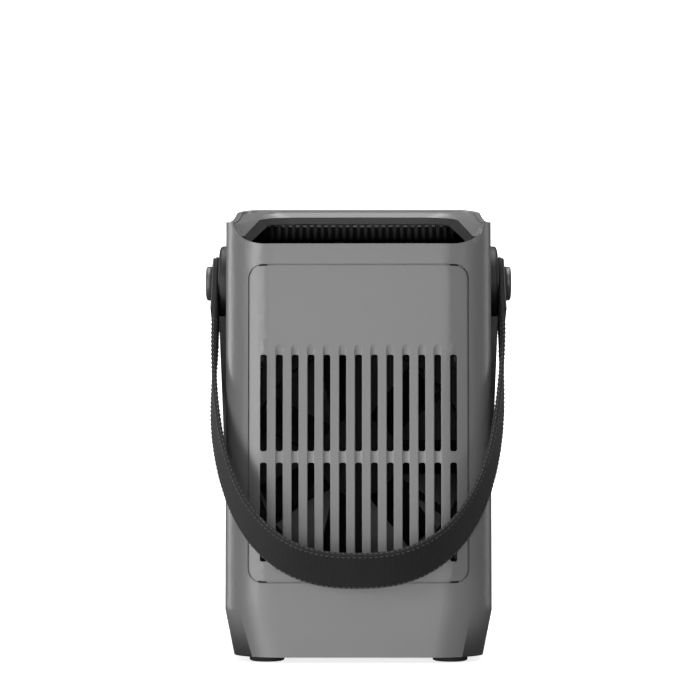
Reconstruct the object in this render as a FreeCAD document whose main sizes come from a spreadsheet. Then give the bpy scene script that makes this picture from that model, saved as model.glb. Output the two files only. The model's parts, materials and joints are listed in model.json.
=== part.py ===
"""Compact cordless box fan: slotted front intake, finned top outlet, webbing carry strap.

Frame: the slotted face looks along -Y, +Z is up, and the origin is on the floor plane under
the middle of the housing. Millimetres throughout.
"""

import FreeCAD, Part
import Sketcher
import math
import os
import re

V = FreeCAD.Vector
doc = FreeCAD.newDocument("box_fan")

# ----------------------------------------------------------------- driving dimensions
SIZES = {
    "body_width": 143.2, "body_depth": 129.0, "body_bottom": 3.1, "body_top": 254.2,
    "wall": 3.2, "corner_front": 19.5, "corner_front_wide": 28.0, "corner_back": 12.0,
    "foot_inset_taper": 4.9, "taper_height": 24.0,
    "rim_side_front": 235.3, "rim_front": 222.3, "scoop_half": 67.3, "scoop_flat": 50.0,
    "rim_front_depth": 16.0,
    "grille_half": 58.7, "grille_low": 42.3, "grille_high": 211.4, "grille_corner": 7.7,
    "groove": 1.0, "groove_depth": 0.8, "groove_gap": 0.15,
    "slot_pitch": 8.4, "slot_width": 3.65, "slot_corner": 1.2,
    "slot_low": 53.6, "slot_low_length": 52.3, "slot_high": 111.9, "slot_high_length": 51.2,
    "flute_radius": 4.6, "flute_depth": 0.55, "flute_end": 3.4,
    "ledge_half": 61.0, "ledge_back": 56.5, "window_half": 54.5, "window_low": 50.0,
    "window_high": 204.0,
    "base_width": 126.4, "base_depth": 121.4, "base_corner": 8.5, "base_thick": 3.0,
    "foot_radius": 9.4, "foot_x": 49.0, "foot_y": 47.0, "foot_stud": 2.2,
    "fan_size": 120.0, "fan_thick": 25.0, "fan_front": 56.5, "fan_height": 108.7,
    "fan_bore": 58.0, "fan_hole": 52.5, "fan_hole_radius": 2.15, "fan_corner": 6.0,
    "hub_radius": 21.0, "hub_length": 18.5, "hub_back": 36.0, "cup_radius": 18.05,
    "blade_reach": 35.3, "blade_chord": 22.0, "blade_thick": 1.6, "blade_pitch": 38.0,
    "shaft_radius": 1.5, "tube_radius": 4.5, "tube_bore": 3.05, "stator_radius": 15.0,
    "magnet_bore": 15.8, "mount_radius": 22.0,
    "bezel_slope": 11.28, "bezel_back_height": 249.6, "bezel_thick": 3.6,
    "crease_back": 4.0, "crease_half": 57.0, "crease_front": 62.1, "crease_radius": 20.0,
    "funnel_back": -3.8, "funnel_half": 75.9, "funnel_front": 67.5, "funnel_radius": 9.1,
    "funnel_height": 8.0, "lip_back": 7.4, "lip_half": 52.0, "lip_front": 59.2,
    "lip_radius": 14.5, "outlet_run": 125.0, "rim_reveal": 0.8,
    "fin_pitch": 4.23, "fin_thick": 1.9, "fin_base_back": 224.6, "fin_base_front": 203.3,
    "fin_back": 60.8, "fin_front": -54.3, "fin_top": 243.8,
    "pivot_height": 205.6, "knob_radius": 9.65, "knob_start": 81.7, "knob_thick": 3.7,
    "shank_radius": 4.0, "plate_thick": 6.0, "plate_radius": 21.0,
    "pad_low": 100.0, "pad_high": 183.4, "pad_width": 30.0,
    "strap_width": 30.0, "strap_thick": 2.4, "strap_half": 79.3, "strap_lean": 31.8,
    "strap_reach": 182.2, "strap_straight": 20.0, "strap_twist": 7.2,
    "strap_sway": -0.8, "strap_still": 27.0, "strap_blend": 71.0,
    "tab_thick": 1.0, "tab_length": 27.0, "bush_radius": 6.0,
    "cell_radius": 9.15, "cell_length": 65.0, "cell_pitch": 19.2, "cell_height": 18.6,
    "panel_half": 34.0, "panel_low": 70.0, "panel_high": 125.0, "panel_thick": 2.2,
    "panel_corner": 4.0, "panel_gap": 0.3,
    "button_height": 105.0, "button_x": 16.0, "power_radius": 7.0, "speed_radius": 5.0,
    "button_proud": 0.8, "port_height": 82.0, "board_front": 49.0, "board_thick": 1.6,
}
sheet = doc.addObject("Spreadsheet::Sheet", "Sizes")
for row, (alias, number) in enumerate(SIZES.items(), start=1):
    sheet.set(f"A{row}", alias)
    sheet.set(f"B{row}", str(number))
    sheet.setAlias(f"B{row}", alias)
doc.recompute()

WORD = re.compile(r"[a-z_]{3,}")
AXES = {
    "z": FreeCAD.Rotation(),
    "y": FreeCAD.Rotation(V(1, 0, 0), -90),
    "x": FreeCAD.Rotation(V(0, 1, 0), 90),
}
nodes = {}


def num(alias):
    """The value of one cell."""
    return float(sheet.get(alias))


def bind(obj, prop, text):
    """Drive one property from the sheet; names of cells become references to it."""
    def refer(match):
        word = match.group(0)
        return f"Sizes.{word}" if word in SIZES else word
    obj.setExpression(prop, WORD.sub(refer, str(text)))


def place(obj, x="0", y="0", z="0"):
    for letter, text in zip("xyz", (x, y, z)):
        bind(obj, f"Placement.Base.{letter}", text)
    return obj


def box(name, length, width, height, x, y, z):
    """A box from its lower corner."""
    obj = doc.addObject("Part::Box", name)
    for prop, text in zip(("Length", "Width", "Height"), (length, width, height)):
        bind(obj, prop, text)
    return place(obj, x, y, z)


def rod(name, radius, length, x, y, z, axis="z"):
    """A cylinder that starts at a point and runs along a positive axis."""
    obj = doc.addObject("Part::Cylinder", name)
    bind(obj, "Radius", radius)
    bind(obj, "Height", length)
    obj.Placement = FreeCAD.Placement(V(), AXES[axis])
    return place(obj, x, y, z)


def cut(name, base, tool):
    obj = doc.addObject("Part::Cut", name)
    obj.Base = base
    obj.Tool = tool
    return obj


def fuse(name, shapes):
    obj = doc.addObject("Part::MultiFuse", name)
    obj.Shapes = shapes
    obj.Refine = True
    return obj


def common(name, first, second):
    obj = doc.addObject("Part::Common", name)
    obj.Base = first
    obj.Tool = second
    return obj


def ring(name, outer, inner, length, x, y, z, axis="y"):
    """A tube along an axis."""
    full = rod(name + "_full", outer, length, x, y, z, axis)
    hole = rod(name + "_hole", inner, length, x, y, z, axis)
    return cut(name, full, hole)


def polygon(name, points, plane="XY", offset="0"):
    """A closed outline of straight lines on a plane of the frame."""
    sketch = doc.addObject("Sketcher::SketchObject", name)
    turn = {
        "XY": FreeCAD.Rotation(),
        "XZ": FreeCAD.Rotation(V(1, 0, 0), 90),
        "YZ": FreeCAD.Rotation(V(1, 1, 1), 120),
    }[plane]
    sketch.Placement = FreeCAD.Placement(V(), turn)
    count = len(points)
    for index in range(count):
        start = points[index]
        end = points[(index + 1) % count]
        sketch.addGeometry(Part.LineSegment(V(*start, 0), V(*end, 0)), False)
    letter = {"XY": "z", "XZ": "y", "YZ": "x"}[plane]
    bind(sketch, f"Placement.Base.{letter}", offset)
    return sketch


def extrude(name, sketch, length, back="0", direction=(0, 0, 1)):
    obj = doc.addObject("Part::Extrusion", name)
    obj.Base = sketch
    obj.DirMode = "Custom"
    obj.Dir = V(*direction)
    bind(obj, "LengthFwd", length)
    bind(obj, "LengthRev", back)
    obj.Solid = True
    return obj


def origin_plane(body, role):
    for feature in body.Origin.OriginFeatures:
        if feature.Role == role:
            return feature
    raise ValueError(role)


def sketch_in(body, name, role="XY_Plane", height="0"):
    sketch = body.newObject("Sketcher::SketchObject", name)
    sketch.AttachmentSupport = (origin_plane(body, role), [""])
    sketch.MapMode = "FlatFace"
    bind(sketch, "AttachmentOffset.Base.z", height)
    return sketch


def rounded(sketch, width, height, radius):
    """A fully constrained rounded rectangle round the origin, each size (formula, value)."""
    half_w = width[1] / 2
    half_h = height[1] / 2
    r = radius[1]
    quarter = math.pi / 2
    corner_x = half_w - r
    corner_y = half_h - r

    def line(x_a, y_a, x_b, y_b):
        return Part.LineSegment(V(x_a, y_a, 0), V(x_b, y_b, 0))

    def arc(x_c, y_c, first):
        circle = Part.Circle(V(x_c, y_c, 0), V(0, 0, 1), r)
        return Part.ArcOfCircle(circle, first * quarter, (first + 1) * quarter)

    geometry = [
        line(-corner_x, half_h, corner_x, half_h), arc(corner_x, corner_y, 0),
        line(half_w, corner_y, half_w, -corner_y), arc(corner_x, -corner_y, 3),
        line(corner_x, -half_h, -corner_x, -half_h), arc(-corner_x, -corner_y, 2),
        line(-half_w, -corner_y, -half_w, corner_y), arc(-corner_x, corner_y, 1),
    ]
    first = len(sketch.Geometry)
    sketch.addGeometry(geometry, False)
    joins = ((0, 2, 1, 2), (1, 1, 2, 1), (2, 2, 3, 2), (3, 1, 4, 1),
             (4, 2, 5, 2), (5, 1, 6, 1), (6, 2, 7, 2), (7, 1, 0, 1))
    for a, a_end, b, b_end in joins:
        link = Sketcher.Constraint("Tangent", first + a, a_end, first + b, b_end)
        sketch.addConstraint(link)
    for index in (0, 4):
        sketch.addConstraint(Sketcher.Constraint("Horizontal", first + index))
    for index in (2, 6):
        sketch.addConstraint(Sketcher.Constraint("Vertical", first + index))
    for index in (3, 5, 7):
        sketch.addConstraint(Sketcher.Constraint("Equal", first + 1, first + index))
    driven = (
        (Sketcher.Constraint("Radius", first + 1, r), radius[0]),
        (Sketcher.Constraint("DistanceX", first + 6, 1, first + 2, 1, 2 * half_w), width[0]),
        (Sketcher.Constraint("DistanceY", first + 4, 1, first, 1, 2 * half_h), height[0]),
        (Sketcher.Constraint("DistanceX", -1, 1, first + 2, 1, half_w), f"({width[0]}) / 2"),
        (Sketcher.Constraint("DistanceY", -1, 1, first, 1, half_h), f"({height[0]}) / 2"),
    )
    for constraint, text in driven:
        index = sketch.addConstraint(constraint)
        bind(sketch, f"Constraints[{index}]", text)


def circle_in(sketch, radius, x=0.0, y=0.0):
    index = sketch.addGeometry(Part.Circle(V(x, y, 0), V(0, 0, 1), 1.0), False)
    size = sketch.addConstraint(Sketcher.Constraint("Radius", index, 1.0))
    bind(sketch, f"Constraints[{size}]", radius)
    spot = Sketcher.Constraint("DistanceX", -1, 1, index, 3, x)
    sketch.addConstraint(spot)
    spot = Sketcher.Constraint("DistanceY", -1, 1, index, 3, y)
    sketch.addConstraint(spot)


def pad(body, name, sketch, length, reverse=False):
    obj = body.newObject("PartDesign::Pad", name)
    obj.Profile = sketch
    bind(obj, "Length", length)
    obj.Reversed = reverse
    return obj


def pocket(body, name, sketch, length, reverse=False):
    obj = body.newObject("PartDesign::Pocket", name)
    obj.Profile = sketch
    bind(obj, "Length", length)
    obj.Reversed = reverse
    return obj


def node(name, obj):
    """Register an object as one finished piece of the fan."""
    obj.Label = name
    nodes[name] = obj
    return obj


def feature(name, shape):
    obj = doc.addObject("Part::Feature", name)
    obj.Shape = shape
    return obj


def plan(name, grow, height, inset=0.0):
    """The housing's plan outline at a height, moved inward all round or at the sides only."""
    half_w = num("body_width") / 2 - grow - inset
    half_d = num("body_depth") / 2 - grow
    back = num("corner_back") - grow
    deep = num("corner_front") - grow
    wide = num("corner_front_wide") - grow
    sketch = doc.addObject("Sketcher::SketchObject", name + "_outline")
    quarter = math.pi / 2
    corners = (
        (half_w - back, half_d - back, back, back), (back - half_w, half_d - back, back, back),
        (wide - half_w, deep - half_d, wide, deep), (half_w - wide, deep - half_d, wide, deep),
    )
    for index, (x, y, reach_x, reach_y) in enumerate(corners):
        first = index * quarter
        if reach_x == reach_y:
            circle = Part.Circle(V(x, y, 0), V(0, 0, 1), reach_x)
            arc = Part.ArcOfCircle(circle, first, first + quarter)
        else:
            oval = Part.Ellipse(V(x, y, 0), reach_x, reach_y)
            arc = Part.ArcOfEllipse(oval, first, first + quarter)
        sketch.addGeometry(arc, False)
        x_n, y_n, reach_xn, reach_yn = corners[(index + 1) % 4]
        turn_x = round(math.cos(first + quarter))
        turn_y = round(math.sin(first + quarter))
        start = V(x + reach_x * turn_x, y + reach_y * turn_y, 0)
        end = V(x_n + reach_xn * turn_x, y_n + reach_yn * turn_y, 0)
        sketch.addGeometry(Part.LineSegment(start, end), False)
    bind(sketch, "Placement.Base.z", height)
    return sketch


def prism(name, grow, low, high):
    """The plan outline, moved inward by a distance, between two heights."""
    return extrude(name, plan(name, grow, low), f"({high}) - ({low})")


# ----------------------------------------------------------------- housing shell
wall = num("wall")
half_width = num("body_width") / 2
half_depth = num("body_depth") / 2

# straight walls above, and sides that draw in toward the floor
TAPER_TOP = "body_bottom + taper_height"
foot_block = doc.addObject("Part::Loft", "foot_block")
foot_block.Sections = [plan("foot_low", 0.0, "body_bottom", num("foot_inset_taper")),
                       plan("foot_high", 0.0, TAPER_TOP)]
foot_block.Solid = True
foot_block.Ruled = True
outer = fuse("outer", [foot_block, prism("outer_high", 0.0, TAPER_TOP, "body_top + 1")])

# the rim sweeps down from back to front, and the front wall is scooped lower still
slope_y = -half_depth + num("rim_front_depth")
rise = num("rim_side_front") - num("rim_front")
SKY = 270


def above_rim(name, drop):
    """Everything above the swept rim, lowered by a distance."""
    low = num("rim_side_front")
    high = num("body_top")
    profile = [(slope_y - 20, low - 2.0), (slope_y, low), (5.5, low + 6.3), (33.5, low + 11.2),
               (53.5, high - 3.2), (half_depth, high), (half_depth + 5, high + 1.6)]
    knots = [V(y, z - drop, 0) for y, z in profile]
    curve = Part.BSplineCurve()
    curve.interpolate(knots)
    sketch = doc.addObject("Sketcher::SketchObject", name + "_outline")
    sketch.Placement = FreeCAD.Placement(V(-80, 0, 0), FreeCAD.Rotation(V(1, 1, 1), 120))
    sketch.addGeometry(curve, False)
    corners = [knots[-1], V(knots[-1].x, SKY, 0), V(knots[0].x, SKY, 0), knots[0]]
    for start, end in zip(corners, corners[1:]):
        sketch.addGeometry(Part.LineSegment(start, end), False)
    return extrude(name, sketch, "160", "0", (1, 0, 0))


def above_scoop(name, drop):
    """Everything above the scooped front rim, lowered by a distance."""
    half = num("scoop_half")
    flat = num("scoop_flat")
    low = num("rim_front") - drop
    sketch = doc.addObject("Sketcher::SketchObject", name + "_outline")
    sketch.Placement = FreeCAD.Placement(V(0, slope_y, 0), FreeCAD.Rotation(V(1, 0, 0), 90))
    steps = 12
    for sign in (-1, 1):
        knots = []
        for step in range(steps + 1):
            angle = math.pi / 2 * step / steps
            x = flat + (half - flat) * math.sin(angle)
            knots.append(V(sign * x, low + rise * (1 - math.cos(angle)), 0))
        curve = Part.BSplineCurve()
        curve.interpolate(Points=knots, InitialTangent=V(sign, 0, 0), FinalTangent=V(0, 1, 0))
        sketch.addGeometry(curve, False)
    corners = [V(-half, low + rise, 0), V(-half, SKY, 0), V(half, SKY, 0),
               V(half, low + rise, 0)]
    for start, end in zip(corners, corners[1:]):
        sketch.addGeometry(Part.LineSegment(start, end), False)
    sketch.addGeometry(Part.LineSegment(V(-flat, low, 0), V(flat, low, 0)), False)
    return extrude(name, sketch, "20", "0", (0, -1, 0))


rim_slope = above_rim("rim_slope", 0.0)
scoop = above_scoop("scoop", 0.0)

cavity_high = prism("cavity_high", wall, "28", "body_top + 2")
low_sketch = polygon("cavity_low_outline", [
    (-63.8, -61.3), (63.8, -61.3), (63.8, 61.3), (-63.8, 61.3)], "XY", "body_bottom - 1")
low_block = extrude("cavity_low_block", low_sketch, "28 - body_bottom + 1")
low_limit = prism("cavity_low_limit", wall + 2.5, "body_bottom - 1", "29")
cavity_low = common("cavity_low", low_block, low_limit)

# ledge behind the grille with the fan's corner bosses, trimmed to the inside of the wall
ledge_box = box("ledge_box", "2 * ledge_half", "20", "grille_high - grille_low + 6.5",
                "-ledge_half", "-ledge_back - 20", "grille_low - 3.3")
window = box("ledge_window", "2 * window_half", "40", "window_high - window_low",
             "-window_half", "-90", "window_low")
ledge_parts = [cut("ledge_open", ledge_box, window)]
for x in (-1, 1):
    for z in (-1, 1):
        ledge_parts.append(rod(f"fan_boss_{x + 1}{z + 1}", "4.6", "59 - ledge_back",
                               f"{x} * fan_hole", "-59", f"fan_height + {z} * fan_hole", "y"))
ledge = common("ledge", fuse("ledge_full", ledge_parts), prism("ledge_limit", wall, "30", "230"))
board_posts = []
for x in (-1, 1):
    for z in (66, 118):
        board_posts.append(rod(f"board_post_{x + 1}{z}", "3", "61.6 - board_front - board_thick",
                               f"{x} * 28", "board_front + board_thick", f"{z}", "y"))

shell_body = cut("shell_hollow", outer, cavity_high)
shell_body = cut("shell_hollow_low", shell_body, cavity_low)


def slab(name, width, height, radius, y_start, depth, z_mid):
    """A rounded rectangle seen from the front, pushed from y_start toward +Y."""
    body = doc.addObject("PartDesign::Body", name)
    sketch = sketch_in(body, name + "_sketch")
    rounded(sketch, width, height, radius)
    doc.recompute()
    pad(body, name + "_pad", sketch, depth)
    body.Placement = FreeCAD.Placement(V(), FreeCAD.Rotation(V(1, 0, 0), 90))
    place(body, "0", f"({y_start}) + ({depth})", z_mid)
    return body


GRILLE_MID = "(grille_high + grille_low) / 2"
grille_wide = 2 * num("grille_half")
grille_tall = num("grille_high") - num("grille_low")
opening = slab("grille_opening", ("2 * grille_half", grille_wide),
               ("grille_high - grille_low", grille_tall),
               ("grille_corner", num("grille_corner")), "-80", "80 - 45", GRILLE_MID)
panel_mid = "(panel_high + panel_low) / 2"
panel_wide = 2 * num("panel_half")
panel_tall = num("panel_high") - num("panel_low")
recess = slab("panel_recess", ("2 * panel_half", panel_wide),
              ("panel_high - panel_low", panel_tall),
              ("panel_corner", num("panel_corner")),
              "body_depth / 2 - panel_thick", "10", panel_mid)
shell_body = cut("shell_front_open", shell_body, opening)
shell_body = fuse("shell_ledged", [shell_body, ledge] + board_posts)
shell_cuts = [rim_slope, scoop, recess]
for x in (-1, 1):
    for z in (-1, 1):
        shell_cuts.append(rod(f"fan_pilot_{x + 1}{z + 1}", "1.7", "6", f"{x} * fan_hole", "-62",
                              f"fan_height + {z} * fan_hole", "y"))
    for z in ("46", "207.5"):
        shell_cuts.append(rod(f"grille_pilot_{x + 1}{z[0]}", "1.55", "9", f"{x} * 45", "-64",
                              z, "y"))
    for z in (66, 118):
        shell_cuts.append(rod(f"post_pilot_{x + 1}{z}", "1.3", "6", f"{x} * 28", "49", f"{z}",
                              "y"))
shell_cuts.append(rod("pivot_bore", "shank_radius + 0.1", "160", "-80", "0", "pivot_height",
                      "x"))
shell_cuts.append(rod("power_bore", "power_radius + 0.15", "20", "-button_x", "55",
                      "button_height", "y"))
shell_cuts.append(rod("speed_bore", "speed_radius + 0.15", "20", "button_x", "55",
                      "button_height", "y"))
shell_cuts.append(rod("light_bore", "1.55", "20", "0", "55", "button_height", "y"))
shell_cuts.append(box("port_bore", "9.8", "20", "4.0", "-4.9", "55", "port_height - 2.0"))
shell_tools = fuse("shell_tools", shell_cuts)
node("housing_shell", cut("housing_shell", shell_body, shell_tools))

# ----------------------------------------------------------------- front grille
def grille_slab(name, cell):
    """The grille's opening made smaller by one cell's value all round."""
    inset = num(cell)
    return slab(name, (f"2 * (grille_half - {cell})", grille_wide - 2 * inset),
                (f"grille_high - grille_low - 2 * {cell}", grille_tall - 2 * inset),
                (f"grille_corner - {cell}", num("grille_corner") - inset),
                "-80", "80 - 45", GRILLE_MID)


# the face stands a groove inside the opening, and a thinner flange behind it closes the gap
skin_inner = prism("skin_inner", wall, "39", "215")
face_skin = cut("face_skin", prism("skin_outer", 0.0, "40", "214"), skin_inner)
flange_skin = cut("flange_skin", prism("skin_flange", num("groove_depth"), "40", "214"),
                  skin_inner)
grille_face = common("grille_face", face_skin, grille_slab("grille_insert", "groove"))
grille_flange = common("grille_flange", flange_skin, grille_slab("grille_fit", "groove_gap"))
grille_blank = fuse("grille_blank", [grille_face, grille_flange])
slot_tools = []
for column in range(-6, 7):
    x = f"{column} * slot_pitch"
    for label, low, length in (("a", "slot_low", "slot_low_length"),
                               ("b", "slot_high", "slot_high_length")):
        name = f"slot_{label}{column + 6}"
        tall = box(name + "_tall", "slot_width - 2 * slot_corner", "12", length,
                   f"{x} - slot_width / 2 + slot_corner", "-70", low)
        wide = box(name + "_wide", "slot_width", "12", f"{length} - 2 * slot_corner",
                   f"{x} - slot_width / 2", "-70", f"{low} + slot_corner")
        slot_tools += [tall, wide]
        for x_side in (-1, 1):
            for z_side, z_text in ((0, f"{low} + slot_corner"),
                                   (1, f"{low} + {length} - slot_corner")):
                tip = rod(f"{name}_{x_side + 1}{z_side}", "slot_corner", "12",
                          f"{x} + {x_side} * (slot_width / 2 - slot_corner)", "-70", z_text, "y")
                slot_tools.append(tip)
    flute_low = "slot_low - flute_end"
    flute_high = "slot_high + slot_high_length + flute_end"
    flute_y = "-body_depth / 2 - flute_radius + flute_depth"
    slot_tools.append(rod(f"flute_{column + 6}", "flute_radius",
                          f"{flute_high} - ({flute_low})", x, flute_y, flute_low))
    for label, z in (("low", flute_low), ("high", flute_high)):
        tip = doc.addObject("Part::Sphere", f"flute_{label}{column + 6}")
        bind(tip, "Radius", "flute_radius")
        slot_tools.append(place(tip, x, flute_y, z))
for x in (-1, 1):
    for z in ("46", "207.5"):
        slot_tools.append(rod(f"grille_thread_{x + 1}{z[0]}", "1.55", "3", f"{x} * 45", "-63.2",
                              z, "y"))
slots = fuse("slot_tools", slot_tools)
node("intake_grille", cut("intake_grille", grille_blank, slots))
screws = []
for x in (-1, 1):
    for label, z in (("low", "46"), ("high", "207.5")):
        name = f"grille_screw_{label}{x + 1}"
        screws.append(rod(name + "_head", "2.5", "1.5", f"{x} * 45", "-ledge_back", z, "y"))
        screws.append(rod(name + "_shank", "1.5", "63.1 - ledge_back", f"{x} * 45", "-63.1", z,
                          "y"))
node("grille_screws", fuse("grille_screws", screws))

# ----------------------------------------------------------------- base plate and feet
base = doc.addObject("PartDesign::Body", "base_plate")
sketch = sketch_in(base, "base_sketch", "XY_Plane", "body_bottom")
rounded(sketch, ("base_width", num("base_width")), ("base_depth", num("base_depth")),
        ("base_corner", num("base_corner")))
doc.recompute()
pad(base, "base_pad", sketch, "base_thick")
sketch = sketch_in(base, "base_holes", "XY_Plane", "body_bottom + base_thick")
for x in (-1, 1):
    for y in (-1, 1):
        circle_in(sketch, "1.7", x * 57.0, y * 36.0)
        circle_in(sketch, "3.05", x * num("foot_x"), y * num("foot_y"))
doc.recompute()
pocket(base, "base_drill", sketch, "base_thick + 1")
base_limit = prism("base_limit", wall + 2.9, "0", "10")
node("base_plate", common("base_plate_trim", base, base_limit))

for label, x, y in (("front_left", -1, -1), ("front_right", 1, -1),
                    ("back_left", -1, 1), ("back_right", 1, 1)):
    disc = rod(f"foot_{label}_disc", "foot_radius", "body_bottom", f"{x} * foot_x",
               f"{y} * foot_y", "0")
    edge = doc.addObject("Part::Fillet", f"foot_{label}_soft")
    edge.Base = disc
    doc.recompute()
    for index, item in enumerate(disc.Shape.Edges, start=1):
        if item.BoundBox.ZMax < 0.01 and item.BoundBox.XLength > 5:
            edge.Edges = [(index, 0.8, 0.8)]
    stud = rod(f"foot_{label}_stud", "3", "body_bottom + foot_stud", f"{x} * foot_x",
               f"{y} * foot_y", "0.9")
    node(f"foot_{label}", fuse(f"foot_{label}", [edge, stud]))

screws = []
for x in (-1, 1):
    for y in (-1, 1):
        head = rod(f"base_screw_head_{x + 1}{y + 1}", "2.8", "1.2", f"{x} * 57", f"{y} * 36",
                   "body_bottom - 1.2")
        shank = rod(f"base_screw_shank_{x + 1}{y + 1}", "1.5", "5.9", f"{x} * 57",
                    f"{y} * 36", "body_bottom - 0.5")
        screws += [head, shank]
node("base_screws", fuse("base_screws", screws))

# ----------------------------------------------------------------- top outlet
def horseshoe(name, back, half, front, radius, height):
    """A round-backed outline on the outlet's sloping plane, open toward the front."""
    run = num("outlet_run")
    lean = math.atan2(front - half, run - back)
    turn = math.pi / 2 - lean
    reach = radius * math.tan(turn / 2)
    side_x = half + reach * math.sin(lean)
    side_y = -back - reach * math.cos(lean)
    sketch = doc.addObject("Sketcher::SketchObject", name)

    def corner(sign, first):
        circle = Part.Circle(V(sign * (half - reach), -back - radius, 0), V(0, 0, 1), radius)
        return Part.ArcOfCircle(circle, first, first + turn)

    sketch.addGeometry(Part.LineSegment(V(front, -run, 0), V(side_x, side_y, 0)), False)
    sketch.addGeometry(corner(1, math.pi / 2 - turn), False)
    sketch.addGeometry(Part.LineSegment(V(half - reach, -back, 0), V(reach - half, -back, 0)),
                       False)
    sketch.addGeometry(corner(-1, math.pi / 2), False)
    sketch.addGeometry(Part.LineSegment(V(-side_x, side_y, 0), V(-front, -run, 0)), False)
    sketch.addGeometry(Part.LineSegment(V(-front, -run, 0), V(front, -run, 0)), False)
    sketch.Placement = FreeCAD.Placement(V(), FreeCAD.Rotation(V(1, 0, 0), num("bezel_slope")))
    return place(sketch, "0", f"body_depth / 2 - wall - ({height}) * sin(bezel_slope)",
                 f"bezel_back_height + ({height}) * cos(bezel_slope)")


def horseshoe_of(name, cells, height):
    """A horseshoe whose sizes are the cells of one family."""
    values = [num(f"{cells}_{part}") for part in ("back", "half", "front", "radius")]
    return horseshoe(name, *values, height)


def tapered(name, low, high):
    """A solid between two horseshoes."""
    obj = doc.addObject("Part::Loft", name)
    obj.Sections = [low, high]
    obj.Solid = True
    obj.Ruled = True
    return obj


def sloping_slab(name, low, high):
    """A slab between two heights over the outlet's plane, as wide as the housing."""
    flat = polygon(f"{name}_outline", [(-75, 3), (75, 3), (75, -125), (-75, -125)], "XY", low)
    obj = extrude(name, flat, f"({high}) - ({low})")
    obj.Placement = FreeCAD.Placement(V(), FreeCAD.Rotation(V(1, 0, 0), num("bezel_slope")))
    return place(obj, "0", "body_depth / 2 - wall", "bezel_back_height")


# the collar is the smooth funnel under the rim, and the bezel is the dark lip at its foot
reveal = num("rim_reveal")
outlet_limit = prism("outlet_limit", wall + 0.2, "200", "260")
over_collar = fuse("over_collar", [above_rim("rim_low", reveal),
                                   above_scoop("scoop_low", reveal)])
funnel = tapered("funnel", horseshoe_of("funnel_foot", "crease", "-0.05"),
                 horseshoe_of("funnel_top", "funnel", "funnel_height"))
collar_block = common("collar_block", sloping_slab("collar_slab", "0.05", "14"), outlet_limit)
collar_under_rim = cut("collar_under_rim", collar_block, over_collar)
node("outlet_collar", cut("outlet_collar", collar_under_rim, funnel))

lip_cut = tapered("lip_cut", horseshoe_of("lip_foot", "lip", "-bezel_thick - 0.1"),
                  horseshoe_of("lip_top", "crease", "0.1"))
bezel_block = common("bezel_block", sloping_slab("bezel_slab", "-bezel_thick", "0"),
                     outlet_limit)
bezel_under_rim = cut("bezel_under_rim", bezel_block, over_collar)
node("outlet_bezel", cut("outlet_bezel", bezel_under_rim, lip_cut))

# upright fins whose top edges dip steeply behind the back lip and run forward low down
fin_back = num("fin_back")
fin_front = num("fin_front")
fin_base = ((fin_front, num("fin_base_front")), (fin_back, num("fin_base_back")))
FIN_DIP = ((52.6, num("fin_top")), (50.4, 238.6), (46.0, 233.4), (37.0, 228.6), (20.0, 223.6),
           (-20.0, 215.6), (fin_front, 210.2))


def fin(name, x):
    sketch = doc.addObject("Sketcher::SketchObject", name + "_outline")
    sketch.Placement = FreeCAD.Placement(V(), FreeCAD.Rotation(V(1, 1, 1), 120))
    dip = Part.BSplineCurve()
    dip.interpolate([V(y, z, 0) for y, z in FIN_DIP])
    sketch.addGeometry(dip, False)
    corners = (FIN_DIP[-1], fin_base[0], fin_base[1], (fin_back, num("fin_top")), FIN_DIP[0])
    for start, end in zip(corners, corners[1:]):
        sketch.addGeometry(Part.LineSegment(V(*start, 0), V(*end, 0)), False)
    bind(sketch, "Placement.Base.x", f"{x} - fin_thick / 2")
    return extrude(name, sketch, "fin_thick", "0", (1, 0, 0))


fins = []
for index in range(-13, 14):
    fins.append(fin(f"fin_{index + 13}", f"{index} * fin_pitch"))
for index, (y, z) in enumerate(((-32, 209.2), (0, 214.8), (32, 220.6))):
    fins.append(box(f"fin_tie_{index}", "122", "2.4", "2.4", "-61", f"{y}", f"{z}"))
cheek_top = [(fin_back, 245.4), (fin_front, 222.5)]
for side, x in (("left", "-61.8"), ("right", "60")):
    outline = polygon(f"fin_cheek_{side}_outline", list(fin_base) + cheek_top, "YZ", x)
    fins.append(extrude(f"fin_cheek_{side}", outline, "1.8", "0", (1, 0, 0)))
fins.append(box("fin_back_wall", "122", "1.4", "fin_top - fin_base_back - 0.4", "-61",
                "fin_back - 1.4", "fin_base_back"))
fins.append(box("fin_front_wall", "122", "1.8", "217.2 - fin_base_front - 0.4", "-61",
                "fin_front", "fin_base_front + 0.4"))
fins.append(box("fin_sill", "122", "8.5", "1.8", "-61", "fin_front - 6.7", "215.4"))
fin_limit = prism("fin_limit", wall + 0.25, "190", "260")
node("outlet_fins", common("outlet_fins", fuse("fin_pack", fins), fin_limit))

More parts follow.
